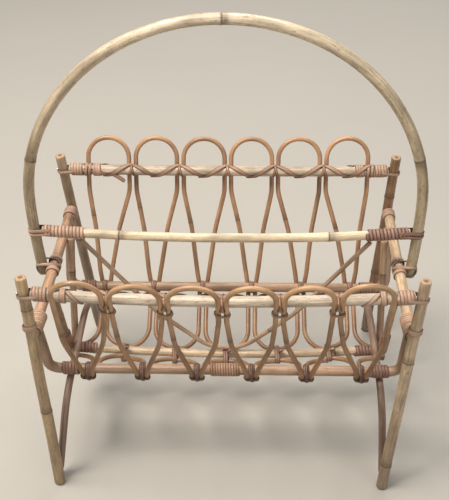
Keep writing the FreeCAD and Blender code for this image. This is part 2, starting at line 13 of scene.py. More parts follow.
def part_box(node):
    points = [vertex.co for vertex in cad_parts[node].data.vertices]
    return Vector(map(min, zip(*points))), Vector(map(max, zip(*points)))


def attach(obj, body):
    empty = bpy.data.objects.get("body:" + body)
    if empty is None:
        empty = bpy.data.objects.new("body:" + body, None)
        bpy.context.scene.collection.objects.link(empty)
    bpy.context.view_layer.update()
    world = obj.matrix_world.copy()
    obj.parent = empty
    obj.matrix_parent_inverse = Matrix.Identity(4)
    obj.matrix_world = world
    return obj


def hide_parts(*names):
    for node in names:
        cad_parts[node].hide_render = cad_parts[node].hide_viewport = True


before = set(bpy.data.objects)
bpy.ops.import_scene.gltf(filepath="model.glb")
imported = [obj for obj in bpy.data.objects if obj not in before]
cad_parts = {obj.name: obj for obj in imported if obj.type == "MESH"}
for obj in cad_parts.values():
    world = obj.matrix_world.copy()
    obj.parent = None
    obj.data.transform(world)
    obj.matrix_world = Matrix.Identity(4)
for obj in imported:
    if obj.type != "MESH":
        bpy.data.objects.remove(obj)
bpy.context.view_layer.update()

bl_info = {
    "name": "Cane Magazine Rack",
    "version": (1, 0, 0),
    "blender": (4, 5, 0),
    "location": "3D View > Sidebar > Cane Rack",
    "description": "Canes, bindings and stage of a magazine rack with woven pockets",
    "category": "Add Mesh",
}

SIDES = {"left": -1, "right": 1}
FACES = {"front": -1, "back": 1}
X_AXIS = Vector((1, 0, 0))
Y_AXIS = Vector((0, 1, 0))
Z_AXIS = Vector((0, 0, 1))
GAP = 0.0003
LOWER_CORNER = 0.211     # from the middle to the corners of the lower rails
LOWER_BEND = 0.014
ARCH_CROWN = 0.1875      # from the middle plane to the crown of a leg arch
ARCH_FRONT = 0.112       # from the middle to its sharper front corner
ARCH_BACK = 0.085        # from the middle to its rounder back corner
KEEL_INSET = 0.006       # from the ends of the keel to its hangers
DRIFT_SEED = 1           # Blender takes the clock for it otherwise, and every run bends the canes anew


# ---------------------------------------------------------------- sizes and colours
def thickness(name, description, default):
    """A length that a user may change."""
    return FloatProperty(
        name=name, description=description, default=default, min=0.0005, unit="LENGTH", subtype="DISTANCE"
    )


def colour(name, description, default):
    """A colour that a user may change."""
    return FloatVectorProperty(
        name=name, description=description, default=default, size=3, min=0, max=1, subtype="COLOR"
    )


def box_edge(node, axis, sign):
    """Where a node's box ends, on one side along one axis."""
    low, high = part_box(node)
    return high[axis] if sign > 0 else low[axis]


def box_thickness(node, axis):
    """Thickness of a straight cane, read across its box."""
    low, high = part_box(node)
    return high[axis] - low[axis]


class RackSizes(bpy.types.PropertyGroup):
    """Thicknesses of the canes and the measures of the weaving."""

    post: thickness("Posts", "Thickness of the four posts", 0.013)
    rail: thickness("Top rails", "Thickness of the two top rails", box_thickness("top_rail_front", 1))
    stretcher: thickness("Stretchers", "Thickness of the end stretchers", 0.013)
    hoop: thickness("Hoop", "Thickness of the hoop handle", box_thickness("hoop", 1))
    crossbar: thickness("Crossbar", "Thickness of the bar across the hoop", box_thickness("crossbar", 1))
    keel: thickness("Keel", "Thickness of the rail under the pockets", box_thickness("keel_rail", 1))
    lower_rail: thickness("Lower rails", "Thickness of the lower rails", 0.0125)
    hanger: thickness("Hangers", "Thickness of the canes that hold the keel", 0.009)
    brace: thickness("Brace", "Thickness of the divider brace", box_thickness("divider_brace", 1))
    arch: thickness("Leg arches", "Thickness of the arches between the feet", 0.009)
    core: thickness("Loops", "Thickness of the woven loops", 0.006)
    loops: IntProperty(name="Loops", description="Loops in each panel", default=6, min=1)
    loop_pitch_top: thickness("Pitch at the rail", "From loop to loop at the top rail", 0.0619)
    loop_pitch_bottom: thickness("Pitch at the waist", "From loop to loop at the lower rail", 0.0655)
    loop_pitch_keel: thickness("Pitch at the keel", "From loop to loop beside the keel", 0.0663)
    loop_width: thickness("Loop width", "Between the legs of a loop at the top rail", 0.0535)
    loop_rise: thickness("Loop rise", "Top of a loop above the top rail", 0.0405)
    loop_waist: thickness("Loop waist", "Between the legs of a loop at the lower rail", 0.009)
    loop_neck: thickness("Loop neck", "Between the legs of a loop just above the lower rail", 0.016)
    front_belly: thickness("Front belly", "Between the legs of a front loop halfway down", 0.046)
    back_belly: thickness("Back belly", "Between the legs of a back loop halfway down", 0.031)
    strip_width: thickness("Strip width", "Width of a binding strip", 0.0046)
    strip_thickness: thickness("Strip thickness", "Thickness of a binding strip", 0.0016)


class RackColours(bpy.types.PropertyGroup):
    """Colours of the canes and strips."""

    # The hoop is coloured paler at its top than along its legs.
    hoop_left: colour("Hoop left", "Left leg of the hoop", (0.42, 0.315, 0.195))
    hoop_top: colour("Hoop top", "Sun-bleached top of the hoop", (0.66, 0.54, 0.385))
    hoop_right: colour("Hoop right", "Right leg of the hoop", (0.47, 0.365, 0.225))
    crossbar: colour("Crossbar", "Pale bar across the hoop", (0.72, 0.575, 0.385))
    keel: colour("Keel", "Rail under the pockets", (0.60, 0.45, 0.30))
    front_rail: colour("Front rail", "Front top rail", (0.53, 0.43, 0.325))
    back_rail: colour("Back rail", "Back top rail", (0.51, 0.395, 0.285))
    front_left_post: colour("Front left post", "Front left post", (0.38, 0.265, 0.145))
    front_right_post: colour("Front right post", "Front right post", (0.46, 0.34, 0.215))
    back_left_post: colour("Back left post", "Back left post", (0.35, 0.25, 0.16))
    back_right_post: colour("Back right post", "Back right post", (0.26, 0.145, 0.075))
    left_stretcher: colour("Left stretcher", "Left end stretcher", (0.42, 0.25, 0.15))
    right_stretcher: colour("Right stretcher", "Right end stretcher", (0.54, 0.38, 0.235))
    lower_rail: colour("Lower rails", "Lower rails", (0.36, 0.225, 0.14))
    hanger: colour("Hangers", "Keel hangers", (0.34, 0.215, 0.13))
    brace: colour("Brace", "Divider brace", (0.40, 0.26, 0.16))
    arch: colour("Leg arches", "Leg arches", (0.235, 0.15, 0.105))
    # Painted light: over the loops' own brown, their tops get a lighter colour as painted highlight and their
    # legs a darker one as painted shade.
    loop_top: colour("Loop tops", "Tops of the woven loops", (0.45, 0.265, 0.135))
    loop_leg: colour("Loop legs", "Legs of the woven loops", (0.31, 0.165, 0.08))
    back_loop: colour("Back loops", "Loops of the back panel", (0.38, 0.21, 0.11))
    joint: colour("Joint", "Dark ring where a leaf grew", (0.085, 0.05, 0.028))
    wrap: colour("Wraps", "Strips round the rail ends", (0.40, 0.26, 0.175))
    pale_wrap: colour("Pale wraps", "Strips round the left end of the crossbar", (0.52, 0.34, 0.235))
    dark_wrap: colour("Dark wraps", "Strips round the right end of the crossbar", (0.27, 0.155, 0.11))
    low_wrap: colour("Low wraps", "Strips round the lower canes", (0.25, 0.14, 0.095))
    tie: colour("Ties", "Strips that tie the loops", (0.33, 0.185, 0.105))
    knot: colour("Knots", "Dark strips at the waists", (0.13, 0.075, 0.048))
    cone: colour("Cones", "Fine tapered windings on the stretchers", (0.44, 0.29, 0.185))
    lacing: colour("Lacing", "Strips along the top rails", (0.33, 0.195, 0.12))
    pith: colour("Cut ends", "Pale wood of a sawn end", (0.55, 0.40, 0.25))
    nail: colour("Nails", "Small steel nail heads", (0.70, 0.67, 0.61))
    floor: colour("Floor", "Plain pale floor", (0.40, 0.375, 0.335))


def sizes():
    """The sizes that the sidebar shows."""
    return bpy.context.scene.rack_sizes


def colours():
    """The colours that the sidebar shows."""
    return bpy.context.scene.rack_colours


def radius(cane):
    """Half the thickness of one kind of cane."""
    return getattr(sizes(), cane) / 2


def touching(first, second):
    """Distance between the axes of two canes that lie against each other."""
    return radius(first) + radius(second) + GAP


# ---------------------------------------------------------------- lines of the canes
def unit(vector):
    """Copy of a vector with length one."""
    return Vector(vector).normalized()


def between(start, end, share):
    """Point a share of the way from start to end."""
    return start + (end - start) * share


def turned_arc(start, middle, end, steps=24):
    """Points of the arc through three points."""
    chord = end - start
    rise = (middle - start) - chord * ((middle - start).dot(chord) / chord.length_squared)
    height = rise.length
    if height < 1e-6:
        return [start, end]
    half = chord.length / 2
    bend = (half * half + height * height) / (2 * height)
    centre = (start + end) / 2 + unit(rise) * (height - bend)
    sweep = 2 * math.atan2(half, bend - height)
    first = unit(start - centre)
    towards_middle = middle - centre
    across = unit(towards_middle - first * towards_middle.dot(first))
    angles = [sweep * step / steps for step in range(steps + 1)]
    return [centre + (first * math.cos(angle) + across * math.sin(angle)) * bend for angle in angles]


def sagging(start, end, drop):
    """Points from start to end whose middle hangs lower than the ends."""
    return turned_arc(start, (start + end) / 2 - Z_AXIS * drop, end)


def rounded(corners, bends):
    """Straight runs through the corners with every inner corner turned into an arc."""
    line = [corners[0]]
    for before, corner, after, bend in zip(corners, corners[1:], corners[2:], bends):
        arriving = unit(corner - before)
        leaving = unit(after - corner)
        half_turn = arriving.angle(leaving) / 2
        reach = bend * math.tan(half_turn)
        inward = unit(leaving - arriving)
        crown = corner + inward * (bend / math.cos(half_turn) - bend)
        line += turned_arc(corner - arriving * reach, crown, corner + leaving * reach, 12)
    return line + [corners[-1]]


class Line:
    """A line of points that can be asked for its place and direction at any distance along it."""

    def __init__(self, points):
        self.points = [points[0]]
        for point in points[1:]:
            if (point - self.points[-1]).length > 1e-5:
                self.points.append(point)
        self.marks = [0.0]
        for here, there in zip(self.points, self.points[1:]):
            self.marks.append(self.marks[-1] + (there - here).length)
        self.length = self.marks[-1]

    def at(self, distance):
        """Place at a distance from the start."""
        distance = min(max(distance, 0), self.length)
        for number in range(1, len(self.marks)):
            if distance <= self.marks[number]:
                run = self.marks[number] - self.marks[number - 1]
                return between(
                    self.points[number - 1], self.points[number], (distance - self.marks[number - 1]) / run
                )
        return self.points[-1]


def post_point(face, side, height):
    """Axis of one post at a height, read from its box: it leans out sideways and in towards the middle."""
    node = f"post_{face}_{side}"
    low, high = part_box(node)
    out_x, out_y = SIDES[side], FACES[face]
    reach = radius("post")
    slip_x, slip_y = out_x * reach, out_y * reach
    foot = Vector((box_edge(node, 0, -out_x) + slip_x, box_edge(node, 1, out_y) - slip_y, low.z))
    top = Vector((box_edge(node, 0, out_x) - slip_x, box_edge(node, 1, -out_y) + slip_y, high.z))
    return between(foot, top, (height - low.z) / (high.z - low.z))


def hanging_bar(node, reach):
    """Points of a bar that sags between its two ends, read from its box."""
    low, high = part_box(node)
    deep = (low.y + high.y) / 2
    start = Vector((low.x, deep, high.z - reach))
    end = Vector((high.x, deep, high.z - reach))
    return sagging(start, end, max(high.z - low.z - 2 * reach, 0.0001))


def bar_point(node, reach, x):
    """Axis of a sagging bar at a place along it."""
    low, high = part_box(node)
    share = (x - low.x) / (high.x - low.x)
    drop = (high.z - low.z - 2 * reach) * 4 * share * (1 - share)
    return Vector((x, (low.y + high.y) / 2, high.z - reach - drop))


def rail_point(face, x):
    """Axis of a top rail at a place along it."""
    return bar_point(f"top_rail_{face}", radius("rail"), x)


def keel_point(x):
    """Axis of the keel at a place along it."""
    return bar_point("keel_rail", radius("keel"), x)


def crossbar_point(x):
    """Axis of the crossbar at a place along it."""
    return bar_point("crossbar", radius("crossbar"), x)


def stretcher_point(side, y):
    """Axis of an end stretcher at a place along it."""
    low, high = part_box(f"stretcher_{side}")
    height = (low.z + high.z) / 2
    front = post_point("front", side, height)
    back = post_point("back", side, height)
    return between(front, back, (y - front.y) / (back.y - front.y))


def hoop_foot(side):
    """Lower end of a leg of the hoop, lapped on the outer face of its stretcher."""
    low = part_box("hoop")[0]
    lapped = stretcher_point(side, 0) + X_AXIS * (SIDES[side] * touching("stretcher", "hoop"))
    return Vector((lapped.x, 0, low.z + 0.001))


def hoop_line():
    """Line of the hoop: two legs that bend into a half circle."""
    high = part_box("hoop")[1]
    half_width = high.x - radius("hoop")
    spring_z = high.z - radius("hoop") - half_width
    springs = {side: Vector((SIDES[side] * half_width, 0, spring_z)) for side in SIDES}
    legs = {}
    for side, spring in springs.items():
        foot = hoop_foot(side)
        lean = abs(spring.x - foot.x)
        rise = spring.z - foot.z
        bend = (lean * lean + rise * rise) / (2 * lean)
        half_angle = math.asin(rise / bend) / 2
        middle = spring - X_AXIS * (SIDES[side] * bend * (1 - math.cos(half_angle)))
        legs[side] = (foot, middle - Z_AXIS * (bend * math.sin(half_angle)), spring)
    arch = turned_arc(springs["left"], Vector((0, 0, spring_z + half_width)), springs["right"], 60)
    right_foot, right_middle, right_spring = legs["right"]
    return turned_arc(*legs["left"]) + arch + turned_arc(right_spring, right_middle, right_foot)


def lower_rail_line(face):
    """Line of a lower rail, whose ends rise to the undersides of the stretchers."""
    node = f"lower_rail_{face}"
    reach = radius("lower_rail")
    middle = lower_rail_middle(face)
    top_y = box_edge(node, 1, FACES[face]) - FACES[face] * reach
    top_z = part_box(node)[1].z - 0.001
    corners = [
        Vector((stretcher_point("left", top_y).x, top_y, top_z)),
        middle - X_AXIS * LOWER_CORNER,
        middle + X_AXIS * LOWER_CORNER,
        Vector((stretcher_point("right", top_y).x, top_y, top_z)),
    ]
    return rounded(corners, [LOWER_BEND, LOWER_BEND])


def lower_rail_middle(face):
    """Axis of a lower rail at its middle."""
    node = f"lower_rail_{face}"
    reach = radius("lower_rail")
    return Vector((0, box_edge(node, 1, -FACES[face]) + FACES[face] * reach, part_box(node)[0].z + reach))


def hanger_line(face, side):
    """Line of a keel hanger, from the inner face of the stretcher to beside the keel."""
    node = f"keel_hanger_{face}_{side}"
    low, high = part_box(node)
    reach = radius("hanger")
    ways = list(enumerate((SIDES[side], FACES[face])))
    outer_x, outer_y = (box_edge(node, axis, way) - way * reach for axis, way in ways)
    inner_x, inner_y = (box_edge(node, axis, -way) + way * reach for axis, way in ways)
    return [Vector((outer_x, outer_y, high.z - reach / 2)), Vector((inner_x, inner_y, low.z + reach / 2))]


def brace_line():
    """Line of the divider brace: down from under the crossbar, over the keel and up again."""
    low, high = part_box("divider_brace")
    reach = radius("brace")
    end_x = high.x - reach / 2
    end_z = high.z - reach / 2
    seat_z = low.z + reach
    knee_z = seat_z + 0.34 * (end_z - seat_z)
    right = [Vector((end_x / 8, 0, seat_z)), Vector((end_x / 2, 0, knee_z)), Vector((end_x, 0, end_z))]
    left = [Vector((-point.x, 0, point.z)) for point in reversed(right)]
    bends = [end_x * 1.1, end_x / 4]
    return rounded(left + right, bends + bends[::-1])


def arch_line(side):
    """Line of a leg arch, from behind the front foot up and down to the front of the back foot."""
    low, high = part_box(f"leg_arch_{side}")
    reach = radius("arch")
    foot_z = low.z + reach / 2
    front = post_point("front", side, foot_z)
    back = post_point("back", side, foot_z)
    crown_x = SIDES[side] * ARCH_CROWN
    corners = [
        front + Y_AXIS * touching("post", "arch"),
        Vector((crown_x, -ARCH_FRONT, high.z - reach)),
        Vector((crown_x, ARCH_BACK, high.z - reach)),
        back - Y_AXIS * touching("post", "arch"),
    ]
    return rounded(corners, [0.4 * ARCH_FRONT, 1.05 * ARCH_BACK])


def keel_clear_x():
    """How far out the keel is clear of its hangers."""
    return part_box("keel_rail")[1].x - KEEL_INSET - radius("hanger") - 3 * GAP


class LoopLie:
    """Where one loop lies: down the outside of its panel, under the lower rail and in to the keel."""

    def __init__(self, face, number):
        self.face = face
        place = number - (sizes().loops - 1) / 2
        outward = FACES[face]
        self.place = place
        self.top_x = place * sizes().loop_pitch_top
        self.waist_x = place * sizes().loop_pitch_bottom
        self.keel_x = place * sizes().loop_pitch_keel
        rail = rail_point(face, self.top_x)
        keel = keel_point(self.keel_x)
        lower = lower_rail_middle(face)
        self.lower = lower
        up = unit(Vector((0, rail.y - lower.y, rail.z - lower.z)))
        self.out = Vector((0, outward * up.z, -outward * up.y))
        self.rail = Vector((0, rail.y, rail.z)) + self.out * (touching("rail", "core") + GAP)
        turn_high = lower + self.out * touching("lower_rail", "core")
        beside = touching("keel", "core") + 0.0015 + GAP
        self.apex = Vector((0, outward * beside, keel.z - radius("core")))
        across = unit(self.apex - lower)
        floor_out = Vector((0, outward * across.z, -outward * across.y))
        if floor_out.z > 0:
            floor_out = -floor_out
        turn_low = lower + floor_out * touching("lower_rail", "core")
        inward = unit(self.apex - turn_low)
        along = turn_low - turn_high
        share = (along.y * inward.z - along.z * inward.y) / (up.y * inward.z - up.z * inward.y)
        self.corner = turn_high + up * share
        self.up = unit(self.rail - self.corner)

    def half(self, direction):
        """Corners and bends of one half, from the middle of the top down to the keel."""
        crown = self.rail + self.up * sizes().loop_rise
        panel = (self.rail - self.corner).length
        half_width = sizes().loop_width / 2
        belly = sizes().front_belly if self.face == "front" else sizes().back_belly
        leg_x = self.waist_x + direction * sizes().loop_waist / 2
        neck_x = self.waist_x + direction * sizes().loop_neck / 2
        side_x = self.top_x + direction * half_width
        belly_x = (self.top_x + self.waist_x) / 2 + direction * belly / 2
        limit = keel_clear_x()
        end_x = max(-limit, min(limit, (self.place + direction / 2) * sizes().loop_pitch_keel))
        end_x -= direction * GAP

        def at(x, point):
            return Vector((x, point.y, point.z))

        corners = [
            at(self.top_x, crown),
            at(side_x, crown),
            at(side_x, self.rail - self.up * (0.18 * panel)),
            at(belly_x, self.rail - self.up * (0.5 * panel)),
            at(neck_x, self.rail - self.up * (0.86 * panel)),
            at(leg_x, self.corner),
            at(leg_x, self.apex),
            at(end_x, self.apex),
        ]
        snug = touching("lower_rail", "core")
        bends = [half_width * 0.98, 0.30 * panel, 0.72 * panel, 0.30 * panel, snug, 0.98 * abs(end_x - leg_x)]
        return corners, bends

    def line(self):
        """The whole loop, from one end beside the keel, up and over to the other."""
        left, left_bends = self.half(-1)
        right, right_bends = self.half(1)
        return rounded(left[:0:-1] + right[1:], left_bends[::-1] + right_bends)


# ---------------------------------------------------------------- finishes
class Finish:
    """One node material, built up from noise on each piece's own attributes."""

    def __init__(self, name):
        self.material = bpy.data.materials.new(name)
        self.material.use_nodes = True
        self.tree = self.material.node_tree
        self.skin = self.tree.nodes["Principled BSDF"]

    def node(self, kind, inputs=None, **settings):
        """Adds a node, links the sockets it is given and sets the rest."""
        node = self.tree.nodes.new(kind)
        for setting, value in settings.items():
            setattr(node, setting, value)
        for socket, value in (inputs or {}).items():
            if isinstance(value, bpy.types.NodeSocket):
                self.tree.links.new(value, node.inputs[socket])
            else:
                node.inputs[socket].default_value = value
        return node

    def link(self, socket, name):
        """Feeds one of the shader's own sockets."""
        self.tree.links.new(socket, self.skin.inputs[name])

    def attribute(self, name, output="Fac"):
        """A named attribute of the piece."""
        return self.node("ShaderNodeAttribute", attribute_name=name).outputs[output]

    def stretched_noise(self, vector, scale, stretch, detail=3.0, roughness=0.55):
        """Noise drawn out along the grain."""
        mapping = self.node("ShaderNodeMapping", {"Vector": vector, "Scale": (1, 1, stretch)})
        texture = self.node(
            "ShaderNodeTexNoise",
            {"Vector": mapping.outputs["Vector"], "Scale": scale, "Detail": detail, "Roughness": roughness},
        )
        return texture.outputs["Fac"]

    def spread(self, value, low, high, to_low, to_high):
        """A value stretched from one range to another."""
        inputs = {"Value": value, "From Min": low, "From Max": high, "To Min": to_low, "To Max": to_high}
        return self.node("ShaderNodeMapRange", inputs).outputs["Result"]

    def times(self, first, second):
        """Product of two values."""
        return self.node("ShaderNodeMath", {0: first, 1: second}, operation="MULTIPLY").outputs["Value"]

    def ramp(self, value, stops):
        """Colours along a value."""
        node = self.node("ShaderNodeValToRGB", {"Fac": value})
        band = node.color_ramp
        while len(band.elements) < len(stops):
            band.elements.new(0.5)
        for element, (place, tone) in zip(band.elements, stops):
            element.position = place
            element.color = (*tone, 1)
        return node.outputs["Color"]

    def blend(self, first, second, share):
        """Mix of two colours."""
        node = self.node("ShaderNodeMix", {"Factor": share}, data_type="RGBA")
        for socket, value in (("A", first), ("B", second)):
            target = [entry for entry in node.inputs if entry.name == socket and entry.type == "RGBA"][0]
            if isinstance(value, bpy.types.NodeSocket):
                self.tree.links.new(value, target)
            else:
                target.default_value = (*value, 1)
        return [entry for entry in node.outputs if entry.type == "RGBA"][0]

    def brighten(self, tone, amount):
        """A colour made lighter or darker by a value."""
        scaled = self.node("ShaderNodeVectorMath", {0: tone, "Scale": amount}, operation="SCALE")
        return scaled.outputs["Vector"]

    def bump(self, height, strength, distance):
        """Relief of the surface."""
        inputs = {"Height": height, "Strength": strength, "Distance": distance}
        self.link(self.node("ShaderNodeBump", inputs).outputs["Normal"], "Normal")


def cane_finish(name, stops, speckle=0.35, shine=0.42, fibres=1.0):
    """Skin of a natural cane: long fibres, blotches, small specks and dark growth rings."""
    finish = Finish(name)
    grain = finish.attribute("grain", "Vector")
    fibre = finish.stretched_noise(grain, 1500, 0.022, 4)
    streak = finish.stretched_noise(grain, 380, 0.03, 3)
    blotch = finish.stretched_noise(grain, 85, 0.42, 4, 0.62)
    speck = finish.stretched_noise(grain, 520, 0.3, 2)
    stain = finish.stretched_noise(grain, 40, 0.25, 2)
    tone = finish.ramp(finish.attribute("share"), stops)
    light = finish.times(
        finish.spread(fibre, 0.3, 0.7, 1 - 0.24 * fibres, 1 + 0.2 * fibres),
        finish.spread(streak, 0.32, 0.68, 1 - 0.28 * fibres, 1 + 0.2 * fibres),
    )
    light = finish.times(light, finish.spread(blotch, 0.32, 0.68, 0.72, 1.18))
    tone = finish.brighten(tone, light)
    brown = finish.brighten(tone, 0.55)
    brown = finish.blend(brown, (0.16, 0.085, 0.045), 0.35)
    tone = finish.blend(tone, brown, finish.spread(stain, 0.52, 0.70, 0, 0.75))
    tone = finish.blend(tone, brown, finish.spread(speck, 0.60, 0.68, 0, speckle))
    ring = finish.times(finish.attribute("joint"), finish.spread(blotch, 0.3, 0.6, 0.7, 1))
    tone = finish.blend(tone, tuple(colours().joint), ring)
    finish.link(tone, "Base Color")
    finish.link(finish.spread(streak, 0.3, 0.7, shine - 0.07, shine + 0.12), "Roughness")
    relief = finish.times(finish.spread(fibre, 0.2, 0.8, 0.6, 1), finish.spread(blotch, 0.2, 0.8, 0.7, 1))
    finish.bump(relief, 0.55, 0.0004)
    return finish.material


def cut_end_finish():
    """Sawn end of a cane: a pale ring of wood round a darker, porous middle."""
    finish = Finish("cut_cane_end")
    pores = finish.stretched_noise(finish.attribute("grain", "Vector"), 1900, 1, 1)
    tone = finish.ramp(
        finish.attribute("rim"),
        [
            (0.0, (0.20, 0.085, 0.05)),
            (0.45, (0.30, 0.16, 0.09)),
            (0.8, tuple(colours().pith)),
            (1.0, (0.33, 0.21, 0.12)),
        ],
    )
    finish.link(finish.brighten(tone, finish.spread(pores, 0.4, 0.62, 0.55, 1.15)), "Base Color")
    finish.skin.inputs["Roughness"].default_value = 0.85
    finish.bump(pores, 0.6, 0.0004)
    return finish.material


def strip_finish(name, tone, contrast=0.22, shine=0.5):
    """Skin of a binding strip: fine lines along it, turns of different tone and edges darkened as painted
    shade between the turns.
    """
    finish = Finish(name)
    grain = finish.attribute("grain", "Vector")
    line = finish.stretched_noise(grain, 1700, 0.06, 3)
    patch = finish.stretched_noise(grain, 160, 0.5, 3)
    tint = finish.attribute("tint")
    warm = tuple(min(1, part * factor) for part, factor in zip(tone, (1.22, 1.2, 1.25)))
    deep = tuple(part * factor for part, factor in zip(tone, (0.74, 0.66, 0.62)))
    base = finish.blend(deep, warm, finish.spread(tint, -1, 1, 0.5 - 2 * contrast, 0.5 + 2 * contrast))
    lines = finish.spread(line, 0.3, 0.7, 0.78, 1.18)
    light = finish.times(lines, finish.spread(patch, 0.3, 0.7, 0.82, 1.14))
    base = finish.brighten(base, light)
    # Painted shade: the strip darkens towards its edges, standing in for the shade between neighbouring
    # turns.
    edge = finish.spread(finish.attribute("edge"), 0.4, 1, 0, 0.9)
    base = finish.blend(base, tuple(part * 0.22 for part in tone), edge)
    finish.link(base, "Base Color")
    finish.link(finish.spread(line, 0.3, 0.7, shine - 0.08, shine + 0.12), "Roughness")
    finish.bump(line, 0.5, 0.0003)
    return finish.material


def nail_finish():
    """Small steel nail head, dulled and scratched."""
    finish = Finish("nail_head")
    place = finish.node("ShaderNodeTexCoord").outputs["Object"]
    scratch = finish.stretched_noise(place, 1500, 0.3, 2)
    tones = [(0.35, (0.25, 0.22, 0.19)), (0.6, tuple(colours().nail))]
    finish.link(finish.ramp(scratch, tones), "Base Color")
    finish.skin.inputs["Metallic"].default_value = 0.9
    finish.link(finish.spread(scratch, 0.3, 0.7, 0.28, 0.5), "Roughness")
    return finish.material


def floor_finish():
    """Plain pale floor with the faintest unevenness."""
    finish = Finish("pale_floor")
    place = finish.node("ShaderNodeTexCoord").outputs["Object"]
    cloud = finish.stretched_noise(place, 3, 1, 3)
    light = finish.spread(cloud, 0.3, 0.7, 0.985, 1.015)
    finish.link(finish.brighten((*colours().floor,), light), "Base Color")
    finish.skin.inputs["Roughness"].default_value = 0.8
    return finish.material


# ---------------------------------------------------------------- making a cane
def start_clean():
    """Leaves edit mode and deselects everything."""
    if bpy.context.object and bpy.context.object.mode != "OBJECT":
        bpy.ops.object.mode_set(mode="OBJECT")
    bpy.ops.object.select_all(action="DESELECT")


def cane_marks(length, joints, step):
    """Distances along a cane at which it gets a ring of points: closer at its ends and joints."""
    rings = max(int(length / step), 2)
    marks = [length * ring / rings for ring in range(1, rings)]
    near = (-0.006, -0.004, -0.0026, -0.0014, -0.0006, 0, 0.0006, 0.0014, 0.0026, 0.004, 0.006)
    for joint in joints:
        centre = joint * length
        marks = [mark for mark in marks if abs(mark - centre) > 0.0065]
        marks += [centre + offset for offset in near]
    marks = [mark for mark in marks if 0.0025 < mark < length - 0.0025]
    ends = [0, 0.0004, 0.0012, length - 0.0012, length - 0.0004, length]
    return sorted(marks + ends)


def cane_swell(distance, length, joints, seed, taper):
    """How much thicker or thinner a cane is at a distance along it."""
    swell = 1 + 0.018 * noise.noise(Vector((seed * 3.1, distance * 22, 0)))
    swell *= 1 + taper * (distance / length - 0.5)
    for joint in joints:
        offset = (distance - joint * length) / 0.001
        swell += 0.075 * math.exp(-((offset / 2.6) ** 2)) - 0.05 * math.exp(-(((offset - 1.6) / 0.7) ** 2))
    end = min(distance, length - distance)
    if end < 0.0003:
        swell *= 0.86
    elif end < 0.001:
        swell *= 0.96
    return swell


def bend_cane(node, kind, slot, points, skin, joints, seed, wobble, taper=0.0, step=0.0045):
    """A natural cane along a line, to stand for one node: a path with a round bevel, made a mesh.

    joints holds the growth rings, as shares of its length.
    """
    noise.seed_set(DRIFT_SEED)
    reach = radius(kind)
    line = Line(points)
    marks = cane_marks(line.length, joints, step)
    start_clean()
    bpy.ops.curve.primitive_nurbs_path_add()
    cane = bpy.context.object
    cane.name = f"{node}_cane"
    path = cane.data
    path.splines.clear()
    spline = path.splines.new("POLY")
    spline.points.add(len(marks) - 1)
    for point, mark in zip(spline.points, marks):
        place = line.at(mark)
        fade = min(1, min(mark, line.length - mark) / 0.03)
        drift = noise.noise_vector(Vector((seed * 5.7, mark * 9, 1.3))) * (wobble * fade)
        point.co = (*(place + drift), 1)
        point.radius = cane_swell(mark, line.length, joints, seed, taper)
    path.dimensions = "3D"
    path.twist_mode = "MINIMUM"
    path.bevel_depth = reach
    path.bevel_resolution = 4
    bpy.ops.object.convert(target="MESH")
    cane = bpy.context.object
    ring = len(cane.data.vertices) // len(marks)
    if ring * len(marks) != len(cane.data.vertices):
        raise RuntimeError(f"{node} isn't a plain tube of rings")
    bpy.ops.object.mode_set(mode="EDIT")
    bpy.ops.mesh.select_all(action="SELECT")
    bpy.ops.mesh.fill_holes(sides=0)
    bpy.ops.mesh.normals_make_consistent(inside=False)
    bpy.ops.mesh.select_all(action="DESELECT")
    bpy.ops.object.mode_set(mode="OBJECT")
    for polygon in cane.data.polygons:
        polygon.select = len(polygon.vertices) > 4
    bpy.ops.object.mode_set(mode="EDIT")
    bpy.ops.mesh.select_mode(type="FACE")
    bpy.ops.mesh.poke()
    bpy.ops.object.mode_set(mode="OBJECT")
    store_grain(cane, line, marks, ring, joints, reach, seed)
    cane.data.materials.append(skin)
    cane.data.materials.append(bpy.data.materials["cut_cane_end"])
    for polygon in cane.data.polygons:
        polygon.material_index = 1 if max(polygon.vertices) >= ring * len(marks) else 0
    bpy.ops.object.shade_smooth_by_angle(angle=math.radians(55))
    settle(cane, slot, node)


def store(mesh, label, kind, values):
    """Writes one attribute of a mesh, a value for each point."""
    attribute = mesh.attributes.new(label, kind, "POINT")
    for entry, value in zip(attribute.data, values):
        if kind == "FLOAT":
            entry.value = value
        else:
            entry.vector = value


def ring_darkness(offset):
    """How dark a cane is near a growth ring: a thin dark line with a brown patch beyond it."""
    return max(math.exp(-((offset / 0.0012 - 0.9) ** 2)), 0.55 * math.exp(-((offset / 0.0042 - 1.1) ** 2)))


def store_grain(cane, line, marks, ring, joints, reach, seed):
    """Writes where each point lies round and along the cane, for the finish to read."""
    grain, share, rings, rim = [], [], [], []
    for vertex in cane.data.vertices:
        number, corner = divmod(vertex.index, ring)
        on_rim = number < len(marks)
        at_start = (vertex.co - line.points[0]).length < (vertex.co - line.points[-1]).length
        mark = marks[number] if on_rim else (0 if at_start else line.length)
        angle = 2 * math.pi * corner / ring
        out = reach if on_rim else 0
        grain.append((math.cos(angle) * out + seed * 0.37, math.sin(angle) * out, mark + seed * 0.11))
        share.append(mark / line.length)
        rings.append(max((ring_darkness(mark - spot * line.length) for spot in joints), default=0))
        rim.append(1 if on_rim else 0)
    store(cane.data, "grain", "FLOAT_VECTOR", grain)
    store(cane.data, "share", "FLOAT", share)
    store(cane.data, "joint", "FLOAT", rings)
    store(cane.data, "rim", "FLOAT", rim)


def settle(piece, slot, *nodes):
    """Gives a finished piece its body and hides the nodes it stands for; slot is not used."""
    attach(piece, "root")
    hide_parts(*nodes)


# ---------------------------------------------------------------- making strips
def hull(points):
    """Outline, in order, of the tight loop round flat points."""
    points = sorted(points)

    def half(row):
        chain = []
        for point in row:
            while len(chain) > 1:
                (ax, ay), (bx, by) = chain[-2], chain[-1]
                if (bx - ax) * (point[1] - ay) - (by - ay) * (point[0] - ax) > 0:
                    break
                chain.pop()
            chain.append(point)
        return chain[:-1]

    return half(points) + half(points[::-1])


